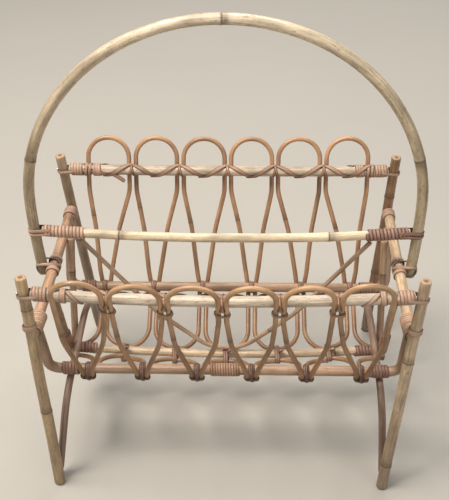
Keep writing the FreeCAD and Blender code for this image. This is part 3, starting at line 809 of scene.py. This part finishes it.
def bundle_route(canes, along, lead, turns=1.0, lift=None, stretch=1.0, begin=0.0, steps=26):
    """Route of a strip pulled tight round canes that lie side by side.

    canes holds the centre and radius of each.  lead gives how far along the strip has moved, and
    lift how far it stands off, at each share of the whole route.
    """
    along = unit(along)
    first = unit(along.orthogonal()) if abs(along.z) > 0.9 else unit(Z_AXIS - along * along.z)
    second = along.cross(first)
    centre = sum((place for place, reach in canes), Vector()) / len(canes)
    flat = []
    for place, reach in canes:
        offset = place - centre
        for step in range(48):
            angle = 2 * math.pi * step / 48
            flat.append(
                (
                    offset.dot(first) + math.cos(angle) * reach * stretch,
                    offset.dot(second) + math.sin(angle) * reach,
                )
            )
    outline = hull(flat)
    ring = Line([first * x + second * y for x, y in outline + outline[:1]])
    count = max(int(steps * turns), 6)
    route = []
    for step in range(count + 1):
        share = step / count
        spot = (begin + share * turns) % 1 * ring.length
        edge = ring.at((spot + 0.0002) % ring.length) - ring.at((spot - 0.0002) % ring.length)
        if edge.length > 0.002:
            edge = ring.at(min(spot + 0.0002, ring.length)) - ring.at(max(spot - 0.0002, 0))
        normal = unit(edge.cross(along))
        place = ring.at(spot)
        if normal.dot(place) < 0:
            normal = -normal
        rise = lift(share) if lift else 0
        route.append((centre + place + normal * rise + along * lead(share), normal))
    return route


def still(share):
    """Lead of a strip that goes straight round."""
    return 0


def winding(start, end, reach, turns, lift=None, begin=0.0, tuck=0.0012):
    """Route of a strip wound close from start to end round one cane."""
    axis = end - start
    inset = axis.length / turns / 2

    def lead(share):
        return inset + (axis.length - 2 * inset) * share

    def rise(share):
        extra = lift(share) if lift else 0
        end_share = min(share, 1 - share) * turns
        return extra - tuck * max(0, 1 - end_share * 6)

    return bundle_route([(start, reach)], axis, lead, turns, rise, begin=begin)


def crossing(canes, along, half_width, begin=0.0, lift=0.0):
    """Routes of two strips that cross in an X on the front and on the back of a bundle."""
    routes = []
    for direction in (1, -1):

        def lead(share, direction=direction):
            return direction * half_width * math.cos(2 * math.pi * (share + begin))

        def rise(share, direction=direction):
            return lift + 0.00045 * direction * (1 if 0.1 < share < 0.9 else 0) + 0.0005

        routes.append(bundle_route(canes, along, lead, 1.0, rise, begin=begin))
    return routes


def tail(start, direction, normal, length, curl=0.3):
    """Route of a loose end of strip that stands off and curls."""
    direction = unit(direction)
    normal = unit(normal - direction * normal.dot(direction))
    route = []
    for step in range(9):
        share = step / 8
        angle = curl * share * share * 3
        place = start + direction * (length * share) + normal * (length * share * share * curl)
        facing = normal * math.cos(angle) - direction * math.sin(angle)
        route.append((place, facing))
    return route


PROFILE = ((-0.5, -0.1), (-0.47, 0.5), (-0.26, 0.9), (0.0, 1.0), (0.26, 0.9), (0.47, 0.5), (0.5, -0.1))


def lay_strips(name, routes, skin, seed=1, width=None, thick=None):
    """One mesh of strips with a domed section, each laid along its route."""
    width = width or sizes().strip_width
    thick = thick or sizes().strip_thickness
    places, faces, grains, tints, edge_shades = [], [], [], [], []
    for number, route in enumerate(routes):
        narrow = 1 + 0.10 * noise.noise(Vector((seed * 2.3, number * 1.7, 0)))
        run = 0.0
        first_row = len(places)
        for step, (place, normal) in enumerate(route):
            ahead = route[min(step + 1, len(route) - 1)][0]
            behind = route[max(step - 1, 0)][0]
            forward = unit(ahead - behind)
            side = unit(forward.cross(normal))
            out = side.cross(forward)
            if out.dot(normal) < 0:
                out = -out
            if step:
                run += (place - route[step - 1][0]).length
            turn = run / 0.055
            tint = 1.6 * noise.noise(Vector((seed * 4.1 + number * 2.9, turn, 0.5)))
            end_share = min(step, len(route) - 1 - step)
            slim = 0.75 if end_share == 0 else 1
            for across, height in PROFILE:
                across_at = across * width * narrow * slim
                places.append(place + side * across_at + out * (height * thick))
                grains.append((across_at, height * thick * 0.2 + seed * 0.31 + number * 0.013, run))
                tints.append(tint)
                # Nearness to the strip's edge, which the finish turns into painted shade between turns.
                edge_shades.append(min(1, abs(across) * 2.0))
        rows = len(route)
        around = len(PROFILE)
        for row in range(rows - 1):
            for corner in range(around):
                here = first_row + row * around + corner
                beside = first_row + row * around + (corner + 1) % around
                faces.append((here, beside, beside + around, here + around))
        faces.append(tuple(first_row + corner for corner in reversed(range(around))))
        faces.append(tuple(first_row + (rows - 1) * around + corner for corner in range(around)))
    mesh = bpy.data.meshes.new(name)
    mesh.from_pydata(places, [], faces)
    store(mesh, "grain", "FLOAT_VECTOR", grains)
    store(mesh, "tint", "FLOAT", tints)
    store(mesh, "edge", "FLOAT", edge_shades)
    piece = bpy.data.objects.new(name, mesh)
    bpy.context.scene.collection.objects.link(piece)
    start_clean()
    piece.select_set(True)
    bpy.context.view_layer.objects.active = piece
    bpy.ops.object.mode_set(mode="EDIT")
    bpy.ops.mesh.select_all(action="SELECT")
    bpy.ops.mesh.normals_make_consistent(inside=False)
    bpy.ops.object.mode_set(mode="OBJECT")
    piece.data.materials.append(skin)
    bpy.ops.object.shade_smooth_by_angle(angle=math.radians(60))
    return piece


def bind(node, name, routes, tone, seed, width=None, thick=None, slot="binding"):
    """Lays strips of one tone along their routes, to stand for one node."""
    settle(lay_strips(name, routes, bpy.data.materials[f"{tone}_strip"], seed, width, thick), slot, node)


def plain(tone, factors=((0, 1.0), (1, 1.0))):
    """Stops of a colour that only gets lighter or darker along the cane."""
    return [(place, tuple(min(1, part * factor) for part in tone)) for place, factor in factors]


# ---------------------------------------------------------------- canes, one operator for each group
class RACK_OT_posts(bpy.types.Operator):
    """Four leaning posts with sawn tops, each with its own growth rings"""
    bl_idname = "rack.posts"
    bl_label = "Posts"

    def execute(self, context):
        joints = {
            ("front", "left"): (0.38, 0.86),
            ("front", "right"): (0.12, 0.64),
            ("back", "left"): (0.10, 0.55),
            ("back", "right"): (0.37, 0.80),
        }
        for seed, (face, side) in enumerate(joints, start=11):
            node = f"post_{face}_{side}"
            low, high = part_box(node)
            tone = getattr(colours(), f"{face}_{side}_post")
            stops = plain(tone, ((0, 0.82), (0.3, 1.0), (0.7, 1.08), (1, 1.35)))
            skin = cane_finish(f"{node}_skin", stops, 0.75)
            line = [post_point(face, side, low.z), post_point(face, side, high.z)]
            bend_cane(node, "post", "post_cane", line, skin, joints[face, side], seed, 0.0012, -0.06)
        return {"FINISHED"}


class RACK_OT_top_rails(bpy.types.Operator):
    """Front and back top rails"""
    bl_idname = "rack.top_rails"
    bl_label = "Top rails"

    def execute(self, context):
        for seed, face in enumerate(FACES, start=21):
            tone = getattr(colours(), f"{face}_rail")
            node = f"top_rail_{face}"
            stops = plain(tone, ((0, 0.9), (0.5, 1.08), (1, 0.92)))
            skin = cane_finish(f"{node}_skin", stops, 0.7, 0.4)
            bend_cane(node, "rail", "rail_cane", hanging_bar(node, radius("rail")), skin, (), seed, 0.0006)
        return {"FINISHED"}


class RACK_OT_stretchers(bpy.types.Operator):
    """End stretchers between the front and back posts"""
    bl_idname = "rack.stretchers"
    bl_label = "End stretchers"

    def execute(self, context):
        for seed, side in enumerate(SIDES, start=31):
            node = f"stretcher_{side}"
            low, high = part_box(node)
            tone = getattr(colours(), f"{side}_stretcher")
            skin = cane_finish(f"{node}_skin", plain(tone, ((0, 1.0), (0.5, 1.1), (1, 0.8))), 0.45)
            line = [stretcher_point(side, low.y), stretcher_point(side, high.y)]
            bend_cane(node, "stretcher", "stretcher_cane", line, skin, (0.24, 0.78), seed, 0.0004)
        return {"FINISHED"}


class RACK_OT_hoop(bpy.types.Operator):
    """Tall hoop handle, dull at its left leg and paler at its top"""
    bl_idname = "rack.hoop"
    bl_label = "Hoop handle"

    def execute(self, context):
        left, top, right = (tuple(getattr(colours(), f"hoop_{part}")) for part in ("left", "top", "right"))
        stops = [
            (0.0, tuple(part * 0.95 for part in left)),
            (0.16, left),
            (0.30, tuple((a + b) / 2 * 1.02 for a, b in zip(left, top))),
            (0.50, top),
            (0.66, tuple((a + b) / 2 * 1.05 for a, b in zip(right, top))),
            (0.84, right),
            (1.0, tuple(part * 0.92 for part in right)),
        ]
        skin = cane_finish("hoop_skin", stops, 0.8, 0.4, 0.9)
        bend_cane("hoop", "hoop", "hoop_cane", hoop_line(), skin, (0.175, 0.497, 0.820), 41, 0.0008)
        return {"FINISHED"}


class RACK_OT_crossbar(bpy.types.Operator):
    """Pale bar across the hoop"""
    bl_idname = "rack.crossbar"
    bl_label = "Crossbar"

    def execute(self, context):
        stops = plain(colours().crossbar, ((0, 0.85), (0.3, 1.0), (0.8, 1.02), (1, 0.8)))
        skin = cane_finish("crossbar_skin", stops, 0.25, 0.38, 0.8)
        line = hanging_bar("crossbar", radius("crossbar"))
        bend_cane("crossbar", "crossbar", "pale_cane", line, skin, (0.208, 0.78), 51, 0.0005)
        return {"FINISHED"}


class RACK_OT_keel(bpy.types.Operator):
    """Rail that the strands of both panels meet"""
    bl_idname = "rack.keel"
    bl_label = "Keel rail"

    def execute(self, context):
        skin = cane_finish("keel_skin", plain(colours().keel, ((0, 0.9), (0.5, 1.05), (1, 0.85))), 0.4)
        line = hanging_bar("keel_rail", radius("keel"))
        bend_cane("keel_rail", "keel", "pale_cane", line, skin, (0.33, 0.84), 61, 0.0004)
        return {"FINISHED"}


class RACK_OT_lower_rails(bpy.types.Operator):
    """Lower rails of both panels, bent up at their ends"""
    bl_idname = "rack.lower_rails"
    bl_label = "Lower rails"

    def execute(self, context):
        for seed, face in enumerate(FACES, start=71):
            stops = plain(colours().lower_rail, ((0, 0.75), (0.25, 1.0), (0.7, 1.1), (1, 0.75)))
            node = f"lower_rail_{face}"
            skin = cane_finish(f"{node}_skin", stops, 0.45)
            bend_cane(node, "lower_rail", "lower_rail_cane", lower_rail_line(face), skin, (), seed, 0.0003)
        return {"FINISHED"}


class RACK_OT_hangers(bpy.types.Operator):
    """Four short canes that hang the keel from the stretchers"""
    bl_idname = "rack.hangers"
    bl_label = "Keel hangers"

    def execute(self, context):
        skin = cane_finish("hanger_skin", plain(colours().hanger), 0.4)
        for face in FACES:
            for side in SIDES:
                seed = 81 + FACES[face] + 2 * SIDES[side]
                node = f"keel_hanger_{face}_{side}"
                line = hanger_line(face, side)
                bend_cane(node, "hanger", "hanger_cane", line, skin, (0.3,), seed, 0.0003)
        return {"FINISHED"}


class RACK_OT_brace(bpy.types.Operator):
    """Bent divider brace from the crossbar down to the keel"""
    bl_idname = "rack.brace"
    bl_label = "Divider brace"

    def execute(self, context):
        skin = cane_finish("brace_skin", plain(colours().brace, ((0, 0.9), (0.5, 1.1), (1, 0.9))), 0.3)
        bend_cane("divider_brace", "brace", "brace_cane", brace_line(), skin, (0.2, 0.63), 91, 0.0004)
        return {"FINISHED"}


class RACK_OT_arches(bpy.types.Operator):
    """Leg arches between the front and back feet"""
    bl_idname = "rack.arches"
    bl_label = "Leg arches"

    def execute(self, context):
        skin = cane_finish("arch_skin", plain(colours().arch, ((0, 0.85), (0.5, 1.1), (1, 0.85))), 0.35)
        for side, sign in SIDES.items():
            line = arch_line(side)
            bend_cane(f"leg_arch_{side}", "arch", "arch_cane", line, skin, (0.42,), 101 + sign, 0.0006)
        return {"FINISHED"}


class RACK_OT_loops(bpy.types.Operator):
    """Twelve woven loops, each one strand from the keel up over the rail and back"""
    bl_idname = "rack.loops"
    bl_label = "Woven loops"

    def execute(self, context):
        top, leg, back = (tuple(getattr(colours(), name)) for name in ("loop_top", "loop_leg", "back_loop"))
        # Painted light: each loop's brown is painted lighter round its crown as painted highlight and darker
        # along its legs as painted shade; lit is the painted highlight on the back loops.
        front_stops = [(0, leg), (0.3, leg), (0.42, top), (0.58, top), (0.7, leg), (1, leg)]
        lit = tuple(part * 1.15 for part in back)
        back_stops = [(0, leg), (0.25, back), (0.5, lit), (0.75, back), (1, leg)]
        for face, stops in (("front", front_stops), ("back", back_stops)):
            for number in range(sizes().loops):
                seed = 110 + number + 10 * FACES[face]
                change = 1 + 0.12 * noise.noise(Vector((seed * 1.37, 0.2, 0)))
                own = [(place, tuple(part * change for part in tone)) for place, tone in stops]
                node = f"{face}_loop_{number + 1}"
                skin = cane_finish(f"{node}_skin", own, 0.3, 0.36, 0.8)
                joints = (0.31 + 0.05 * noise.noise(Vector((seed * 0.7, 0, 0))),)
                line = LoopLie(face, number).line()
                bend_cane(node, "core", f"{face}_loop_core", line, skin, joints, seed, 0.0007, step=0.0042)
        return {"FINISHED"}


# ---------------------------------------------------------------- bindings, one operator for each group
def strip_skins():
    """Finishes of the strips, made once."""
    for name in ("wrap", "pale_wrap", "dark_wrap", "low_wrap", "tie", "knot", "cone", "lacing"):
        strip_finish(f"{name}_strip", tuple(getattr(colours(), name)))


class RACK_OT_rail_end_wraps(bpy.types.Operator):
    """Strips wound round both ends of both top rails and past the end loops, each ending in a slanting strip;
    at the back they also tie the end loops to the rail
    """
    bl_idname = "rack.rail_end_wraps"
    bl_label = "Top rail wraps"

    def execute(self, context):
        routes = []
        over = radius("rail") + GAP
        for face in FACES:
            for sign in SIDES.values():
                end_x = box_edge(f"top_rail_{face}", 0, sign)
                wrap_end = end_x - sign * 0.0205
                routes.append(winding(rail_point(face, end_x), rail_point(face, wrap_end), over, 4.3))
                lie = LoopLie(face, 0 if sign < 0 else sizes().loops - 1)
                leg_x = lie.top_x + sign * sizes().loop_width / 2
                leg = Vector((leg_x, lie.rail.y, lie.rail.z))
                if face == "back":
                    bundle = [(rail_point(face, leg_x), over), (leg, radius("core") + GAP)]
                    routes.append(
                        bundle_route(
                            bundle, X_AXIS, lambda share: 0.0065 - 0.011 * share, 2.3, lambda share: 0.0003
                        )
                    )
                past = leg_x - sign * 0.005
                inner = past - sign * (0.0098 if face == "front" else 0.0145)
                turns = 2.1 if face == "front" else 3.1
                routes.append(winding(rail_point(face, past), rail_point(face, inner), over, turns))
                slant = Line([rail_point(face, inner), rail_point(face, inner - sign * 0.017)])
                routes.append(slanting(slant, over, FACES[face], 80, -60))
        bind("top_rail_end_wraps", "top_rail_end_strips", routes, "wrap", 3)
        return {"FINISHED"}


def slanting(line, reach, outward, first_angle, last_angle, lift=0.0, steps=16):
    """Route of a strip that crosses one face of a rail at a slant, from one angle round it to another."""
    route = []
    for step in range(steps + 1):
        share = step / steps
        angle = math.radians(first_angle + (last_angle - first_angle) * share)
        normal = Vector((0, outward * math.cos(angle), math.sin(angle)))
        route.append((line.at(line.length * share) + normal * (reach + lift), normal))
    return route


class RACK_OT_crossbar_wraps(bpy.types.Operator):
    """Strips wound round both ends of the crossbar, and strips that tie each end to the hoop"""
    bl_idname = "rack.crossbar_wraps"
    bl_label = "Crossbar wraps"

    def execute(self, context):
        over = radius("crossbar") + GAP
        for side, sign in SIDES.items():
            end_x = box_edge("crossbar", 0, sign)
            inner = end_x - sign * 0.053
            routes = [winding(crossbar_point(end_x), crossbar_point(inner), over, 11.4)]
            hoop_axis = Vector((end_x + sign * (radius("hoop") + 0.0016), 0, crossbar_point(end_x).z))
            bundle = [(hoop_axis, radius("hoop") + GAP), (crossbar_point(end_x - sign * 0.008), over)]
            for drop in (-0.0026, 0.0022):
                lead = lambda share, drop=drop: drop + 0.001 * math.sin(share * 7)
                routes.append(bundle_route(bundle, Z_AXIS, lead, 1.05))
            tone = "pale_wrap" if side == "left" else "dark_wrap"
            slot = "binding" if side == "left" else "dark_binding"
            bind(f"crossbar_wrap_{side}", f"crossbar_{side}_strips", routes, tone, 7 + sign, slot=slot)
        return {"FINISHED"}


class RACK_OT_keel_end_wraps(bpy.types.Operator):
    """Strips wound round both ends of the keel and across its hangers"""
    bl_idname = "rack.keel_end_wraps"
    bl_label = "Keel end wraps"

    def execute(self, context):
        routes = []
        for sign in SIDES.values():
            outer = keel_clear_x() * sign
            inner = outer - sign * 0.030
            routes.append(winding(keel_point(outer), keel_point(inner), radius("keel") + GAP, 6.3))
            hanger_x = (box_edge("keel_rail", 0, 1) - KEEL_INSET) * sign
            keel = keel_point(hanger_x)
            beside = touching("keel", "hanger") + GAP
            bundle = [
                (keel + Y_AXIS * beside, radius("hanger")),
                (keel, radius("keel")),
                (keel - Y_AXIS * beside, radius("hanger")),
            ]
            routes += crossing(bundle, X_AXIS, 0.0035, 0.25, GAP)
        bind("keel_end_wraps", "keel_end_strips", routes, "low_wrap", 9)
        return {"FINISHED"}


class RACK_OT_lower_rail_wraps(bpy.types.Operator):
    """Strips near the corners of the lower rails, and the fine winding over the front rail's splice"""
    bl_idname = "rack.lower_rail_wraps"
    bl_label = "Lower rail wraps"

    def execute(self, context):
        over = radius("lower_rail") + GAP
        routes = []
        for face in FACES:
            middle = lower_rail_middle(face)
            for sign in SIDES.values():
                start = middle + X_AXIS * (sign * 0.198)
                end = middle + X_AXIS * (sign * 0.1735)
                routes.append(winding(start, end, over, 5.2))
        bind("lower_rail_end_wraps", "lower_rail_end_strips", routes, "low_wrap", 11)
        low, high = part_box("lower_rail_splice_wrap")
        middle = lower_rail_middle("front")
        start = Vector((low.x, middle.y, middle.z))
        end = Vector((high.x, middle.y, middle.z))
        routes = [winding(start, end, over, 11)]
        bind("lower_rail_splice_wrap", "lower_rail_splice_strip", routes, "lacing", 12, 0.0036)
        return {"FINISHED"}


class RACK_OT_stretcher_wraps(bpy.types.Operator):
    """Tapered fine windings at the front of the stretchers, plain ones at the back"""
    bl_idname = "rack.stretcher_wraps"
    bl_label = "Stretcher wraps"

    def execute(self, context):
        over = radius("stretcher") + GAP
        cones, backs = [], []
        for side in SIDES:
            low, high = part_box(f"stretcher_{side}")
            front = stretcher_point(side, low.y)
            inner = stretcher_point(side, low.y + 0.034)
            cones.append(winding(front, inner, over, 9.6, lambda share: 0.0002 + 0.0016 * share))
            back = stretcher_point(side, high.y)
            backs.append(winding(back, stretcher_point(side, high.y - 0.020), over, 4.3))
        bind("stretcher_cone_wraps", "stretcher_cone_strips", cones, "cone", 13, 0.0037)
        bind("stretcher_back_wraps", "stretcher_back_strips", backs, "wrap", 14)
        return {"FINISHED"}


class RACK_OT_hoop_straps(bpy.types.Operator):
    """Straps that cross over the feet of the hoop and ring the stretchers beside them"""
    bl_idname = "rack.hoop_straps"
    bl_label = "Hoop straps"

    def execute(self, context):
        routes = []
        over = radius("stretcher") + GAP
        for side in SIDES:
            for direction in FACES.values():
                near = direction * (radius("hoop") + 2 * GAP)
                start = stretcher_point(side, near)
                end = stretcher_point(side, near + direction * 0.009)
                routes.append(winding(start, end, over, 2.1))
            stick = stretcher_point(side, 0)
            leg = hoop_foot(side)
            bundle = [(stick, over), (Vector((leg.x, 0, stick.z)), radius("hoop") + GAP)]
            for slope in (1, -1):
                along = unit(Vector((0, 1, slope * 0.9)))
                routes.append(bundle_route(bundle, along, still, 1.04, lambda share: 0.0006, 1.25))
        bind("hoop_straps", "hoop_strap_strips", routes, "wrap", 15, 0.0050)
        return {"FINISHED"}


class RACK_OT_post_straps(bpy.types.Operator):
    """Straps that hook the rails and stretchers to the posts"""
    bl_idname = "rack.post_straps"
    bl_label = "Post straps"

    def execute(self, context):
        routes = []
        over = radius("post") + GAP
        for face in FACES:
            rail_z = box_edge(f"top_rail_{face}", 2, 1) - radius("rail")
            for side, sign in SIDES.items():
                if face == "front":
                    start = post_point(face, side, 0.241)
                    routes.append(winding(start, post_point(face, side, 0.2325), over, 2.1))
                post = post_point(face, side, rail_z)
                rail = rail_point(face, post.x - sign * 0.0105)
                bundle = [(post, over), (rail, radius("rail") + 0.0020)]
                along = unit(Vector((0.16 * sign, 0, 1)))
                lead = lambda share: 0.0006 * math.sin(9 * share) - 0.001
                routes.append(bundle_route(bundle, along, lead, 1.04))
        bind("post_straps", "post_strap_strips", routes, "wrap", 16)
        return {"FINISHED"}


class RACK_OT_hanger_wraps(bpy.types.Operator):
    """Dark strip wound openly round the lower half of the front hangers"""
    bl_idname = "rack.hanger_wraps"
    bl_label = "Hanger wraps"

    def execute(self, context):
        routes = []
        for side in SIDES:
            top, bottom = hanger_line("front", side)
            upward = unit(top - bottom)
            start = bottom + upward * 0.017
            routes.append(winding(start, start + upward * 0.046, radius("hanger") + GAP, 8.3))
        bind("hanger_wraps", "hanger_strips", routes, "tie", 17)
        return {"FINISHED"}


class RACK_OT_junction_ties(bpy.types.Operator):
    """Strips that cross over each pair of neighbouring legs and over the top rail"""
    bl_idname = "rack.junction_ties"
    bl_label = "Junction ties"

    def execute(self, context):
        for face in FACES:
            routes = []
            for number in range(sizes().loops - 1):
                lie = LoopLie(face, number)
                after = LoopLie(face, number + 1)
                middle_x = (lie.top_x + after.top_x) / 2
                reach = (sizes().loop_pitch_top - sizes().loop_width) / 2
                level = between(lie.rail, after.rail, 0.5)
                centre = Vector((middle_x, level.y, level.z))
                below = centre - lie.up * (radius("rail") + 0.0035)
                pair = [(below + X_AXIS * (reach * way), radius("core") + GAP) for way in (-1, 1)]
                if face == "front":
                    routes += crossing(pair, lie.up, 0.0019, 0.25)
                rail = rail_point(face, middle_x)
                bundle = [(rail, radius("rail") + GAP), (centre, radius("core") + GAP)]
                for lean in (1, -1):
                    routes.append(
                        bundle_route(
                            bundle,
                            unit(X_AXIS + lie.up * (0.28 * lean)),
                            lambda share, lean=lean: lean * 0.0012,
                            1.03,
                            lambda share, lean=lean: 0.0004 + 0.0003 * lean,
                        )
                    )
            tone = "tie" if face == "front" else "lacing"
            seed = 18 + FACES[face]
            bind(f"{face}_junction_ties", f"{face}_junction_strips", routes, tone, seed, 0.0032, 0.0009)
        return {"FINISHED"}


class RACK_OT_waist_ties(bpy.types.Operator):
    """Dark strips that cross over each waist and bind it to the lower rail"""
    bl_idname = "rack.waist_ties"
    bl_label = "Waist ties"

    def execute(self, context):
        for face in FACES:
            routes = []
            for number in range(sizes().loops):
                lie = LoopLie(face, number)
                legs = sizes().loop_waist / 2
                rail = Vector((lie.waist_x, lie.lower.y, lie.lower.z))
                front = rail + lie.out * touching("lower_rail", "core")
                low = front - lie.up * 0.0015
                pair = [(low + X_AXIS * (legs * way), radius("core") + GAP) for way in (-1, 1)]
                for lean in (1, 0, -1):
                    along = unit(X_AXIS + lie.up * (0.30 * lean))
                    across = unit(lie.up - X_AXIS * (0.30 * lean))
                    bundle = [
                        (rail, radius("lower_rail") + GAP),
                        (low + across * (legs * 0.4), radius("core") + GAP),
                        (low - across * (legs * 0.4), radius("core") + GAP),
                    ]
                    routes.append(
                        bundle_route(bundle, along, still, 1.03, lambda share, lean=lean: 0.0004 * (1 + lean))
                    )
                routes += crossing(pair, lie.up, 0.0011, 0.25)
            tone = "knot" if face == "front" else "low_wrap"
            bind(f"{face}_waist_ties", f"{face}_waist_strips", routes, tone, 22 + FACES[face], 0.0036, 0.0009)
        return {"FINISHED"}


class RACK_OT_lacing(bpy.types.Operator):
    """Strips that zigzag along the inner face of each top rail, from junction to junction"""
    bl_idname = "rack.lacing"
    bl_label = "Rail lacing"

    def execute(self, context):
        for face in FACES:
            routes = []
            over = radius("rail") + GAP
            inward = -FACES[face]
            for number in range(sizes().loops):
                lie = LoopLie(face, number)
                half = sizes().loop_pitch_top / 2
                for way in (-1, 1):
                    start = rail_point(face, lie.top_x + way * half)
                    line = Line([start, rail_point(face, lie.top_x - way * 0.006)])
                    routes.append(slanting(line, over, inward, 112, -78, 0.0002 + 0.0004 * (1 + way)))
            if face == "back":
                place = rail_point(face, -0.150) + Vector((0, inward * over, -0.001))
                routes.append(tail(place, Vector((0.9, 0, -0.5)), Y_AXIS * inward, 0.020, 0.2))
            seed = 26 + FACES[face]
            bind(f"top_rail_lacing_{face}", f"top_rail_{face}_laces", routes, "lacing", seed, 0.0056, 0.0011)
        return {"FINISHED"}


class RACK_OT_keel_ties(bpy.types.Operator):
    """Strips round the keel and the strands that meet beside it"""
    bl_idname = "rack.keel_ties"
    bl_label = "Keel ties"

    def execute(self, context):
        routes = []
        for number in range(1, sizes().loops):
            tie_x = (number - sizes().loops / 2) * sizes().loop_pitch_keel
            keel = keel_point(tie_x)
            bundle = [(keel, radius("keel") + GAP)]
            for face in FACES:
                apex = LoopLie(face, number).apex
                bundle.append((Vector((tie_x, apex.y, apex.z)), radius("core") + GAP))
            routes.append(bundle_route(bundle, X_AXIS, lambda share: -0.003 + 0.006 * share, 2.15))
            knot = keel + Vector((0.002, -0.003, radius("keel") + 0.001))
            routes.append(tail(knot, Vector((0.6, -0.5, 0.25)), Z_AXIS, 0.008, 0.3))
        bind("keel_ties", "keel_tie_strips", routes, "low_wrap", 29, 0.0040)
        return {"FINISHED"}


class RACK_OT_nails(bpy.types.Operator):
    """Steel finish of the nail heads, whose shape is the frame's own"""
    bl_idname = "rack.nails"
    bl_label = "Nails"

    def execute(self, context):
        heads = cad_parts["nails"]
        heads.data.materials.clear()
        heads.data.materials.append(nail_finish())
        return {"FINISHED"}


CAMERA_PITCH, CAMERA_ROLL, CAMERA_YAW = 35.7, 0.5, 1.7      # degrees
CAMERA_PLACE = (-0.001, -0.9307, 0.9161)                    # before it turns by the yaw
CAMERA_LENS = 68.7                                          # millimetres


class RACK_OT_stage(bpy.types.Operator):
    """Pale floor, soft studio light and the camera"""
    bl_idname = "rack.stage"
    bl_label = "Stage"

    def execute(self, context):
        start_clean()
        bpy.ops.mesh.primitive_plane_add(size=12, location=(0, 0, -0.0005))
        floor = context.object
        floor.name = "floor"
        bpy.ops.object.transform_apply(location=True, rotation=True, scale=True)
        floor.data.materials.append(floor_finish())
        context.scene.view_settings.view_transform = "Standard"
        world = bpy.data.worlds.new("studio") if not context.scene.world else context.scene.world
        context.scene.world = world
        world.use_nodes = True
        world.node_tree.nodes["Background"].inputs["Color"].default_value = (1.0, 0.99, 0.97, 1)
        world.node_tree.nodes["Background"].inputs["Strength"].default_value = 0.30
        lights = (
            ("key_light", (-0.8, -0.3, 2.3), 1.0, 74, (1.0, 0.95, 0.88)),
            ("fill_light", (1.5, -2.0, 1.1), 1.8, 20, (0.97, 0.98, 1.0)),
            ("back_light", (0.4, 1.6, 2.2), 1.2, 30, (1.0, 0.98, 0.95)),
        )
        for name, place, spread, power, tone in lights:
            start_clean()
            bpy.ops.object.light_add(type="AREA", location=place)
            light = context.object
            light.name = name
            light.data.size = spread
            light.data.energy = power
            light.data.color = tone
            aim = Vector((0, 0, 0.22)) - Vector(place)
            light.rotation_euler = aim.to_track_quat("-Z", "Y").to_euler()
        self.place_camera(context)
        return {"FINISHED"}

    def place_camera(self, context):
        """A camera at chest height in front of the rack, looking down at it."""
        start_clean()
        bpy.ops.object.camera_add()
        camera = context.object
        camera.name = "camera"
        pitch = math.radians(CAMERA_PITCH)
        roll = math.radians(CAMERA_ROLL)
        right = Vector((1, 0, 0))
        up = Vector((0, math.sin(pitch), math.cos(pitch)))
        back = Vector((0, -math.cos(pitch), math.sin(pitch)))
        camera_right = right * math.cos(roll) - up * math.sin(roll)
        camera_up = right * math.sin(roll) + up * math.cos(roll)
        pose = Matrix((camera_right, camera_up, back)).transposed().to_4x4()
        pose.translation = Vector(CAMERA_PLACE)
        camera.matrix_world = Matrix.Rotation(math.radians(CAMERA_YAW), 4, "Z") @ pose
        camera.data.lens = CAMERA_LENS
        camera.data.clip_start = 0.02
        context.scene.camera = camera


OPERATORS = (
    RACK_OT_posts,
    RACK_OT_top_rails,
    RACK_OT_stretchers,
    RACK_OT_hoop,
    RACK_OT_crossbar,
    RACK_OT_keel,
    RACK_OT_lower_rails,
    RACK_OT_hangers,
    RACK_OT_brace,
    RACK_OT_arches,
    RACK_OT_loops,
    RACK_OT_rail_end_wraps,
    RACK_OT_crossbar_wraps,
    RACK_OT_keel_end_wraps,
    RACK_OT_lower_rail_wraps,
    RACK_OT_stretcher_wraps,
    RACK_OT_hoop_straps,
    RACK_OT_post_straps,
    RACK_OT_hanger_wraps,
    RACK_OT_junction_ties,
    RACK_OT_waist_ties,
    RACK_OT_lacing,
    RACK_OT_keel_ties,
    RACK_OT_nails,
    RACK_OT_stage,
)


class RACK_PT_sidebar(bpy.types.Panel):
    """Lists the rack's sizes, its colours and the operators that make it"""
    bl_idname = "RACK_PT_sidebar"
    bl_label = "Cane Magazine Rack"
    bl_space_type = "VIEW_3D"
    bl_region_type = "UI"
    bl_category = "Cane Rack"

    def draw(self, context):
        layout = self.layout
        for heading, group in (("Sizes", context.scene.rack_sizes), ("Colours", context.scene.rack_colours)):
            box = layout.box()
            box.label(text=heading)
            for name in group.__annotations__:
                box.prop(group, name)
        box = layout.box()
        box.label(text="Pieces")
        for operator in OPERATORS:
            box.operator(operator.bl_idname)


CLASSES = (RackSizes, RackColours) + OPERATORS + (RACK_PT_sidebar,)


def register():
    """Adds the classes and the two groups of settings."""
    for entry in CLASSES:
        bpy.utils.register_class(entry)
    bpy.types.Scene.rack_sizes = PointerProperty(type=RackSizes)
    bpy.types.Scene.rack_colours = PointerProperty(type=RackColours)


def unregister():
    """Takes the classes and the settings away again."""
    del bpy.types.Scene.rack_colours
    del bpy.types.Scene.rack_sizes
    for entry in reversed(CLASSES):
        bpy.utils.unregister_class(entry)


def main():
    """Makes every piece in order."""
    register()
    cut_end_finish()
    strip_skins()
    for operator in OPERATORS:
        group, name = operator.bl_idname.split(".")
        getattr(getattr(bpy.ops, group), name)()


if __name__ == "__main__":
    main()
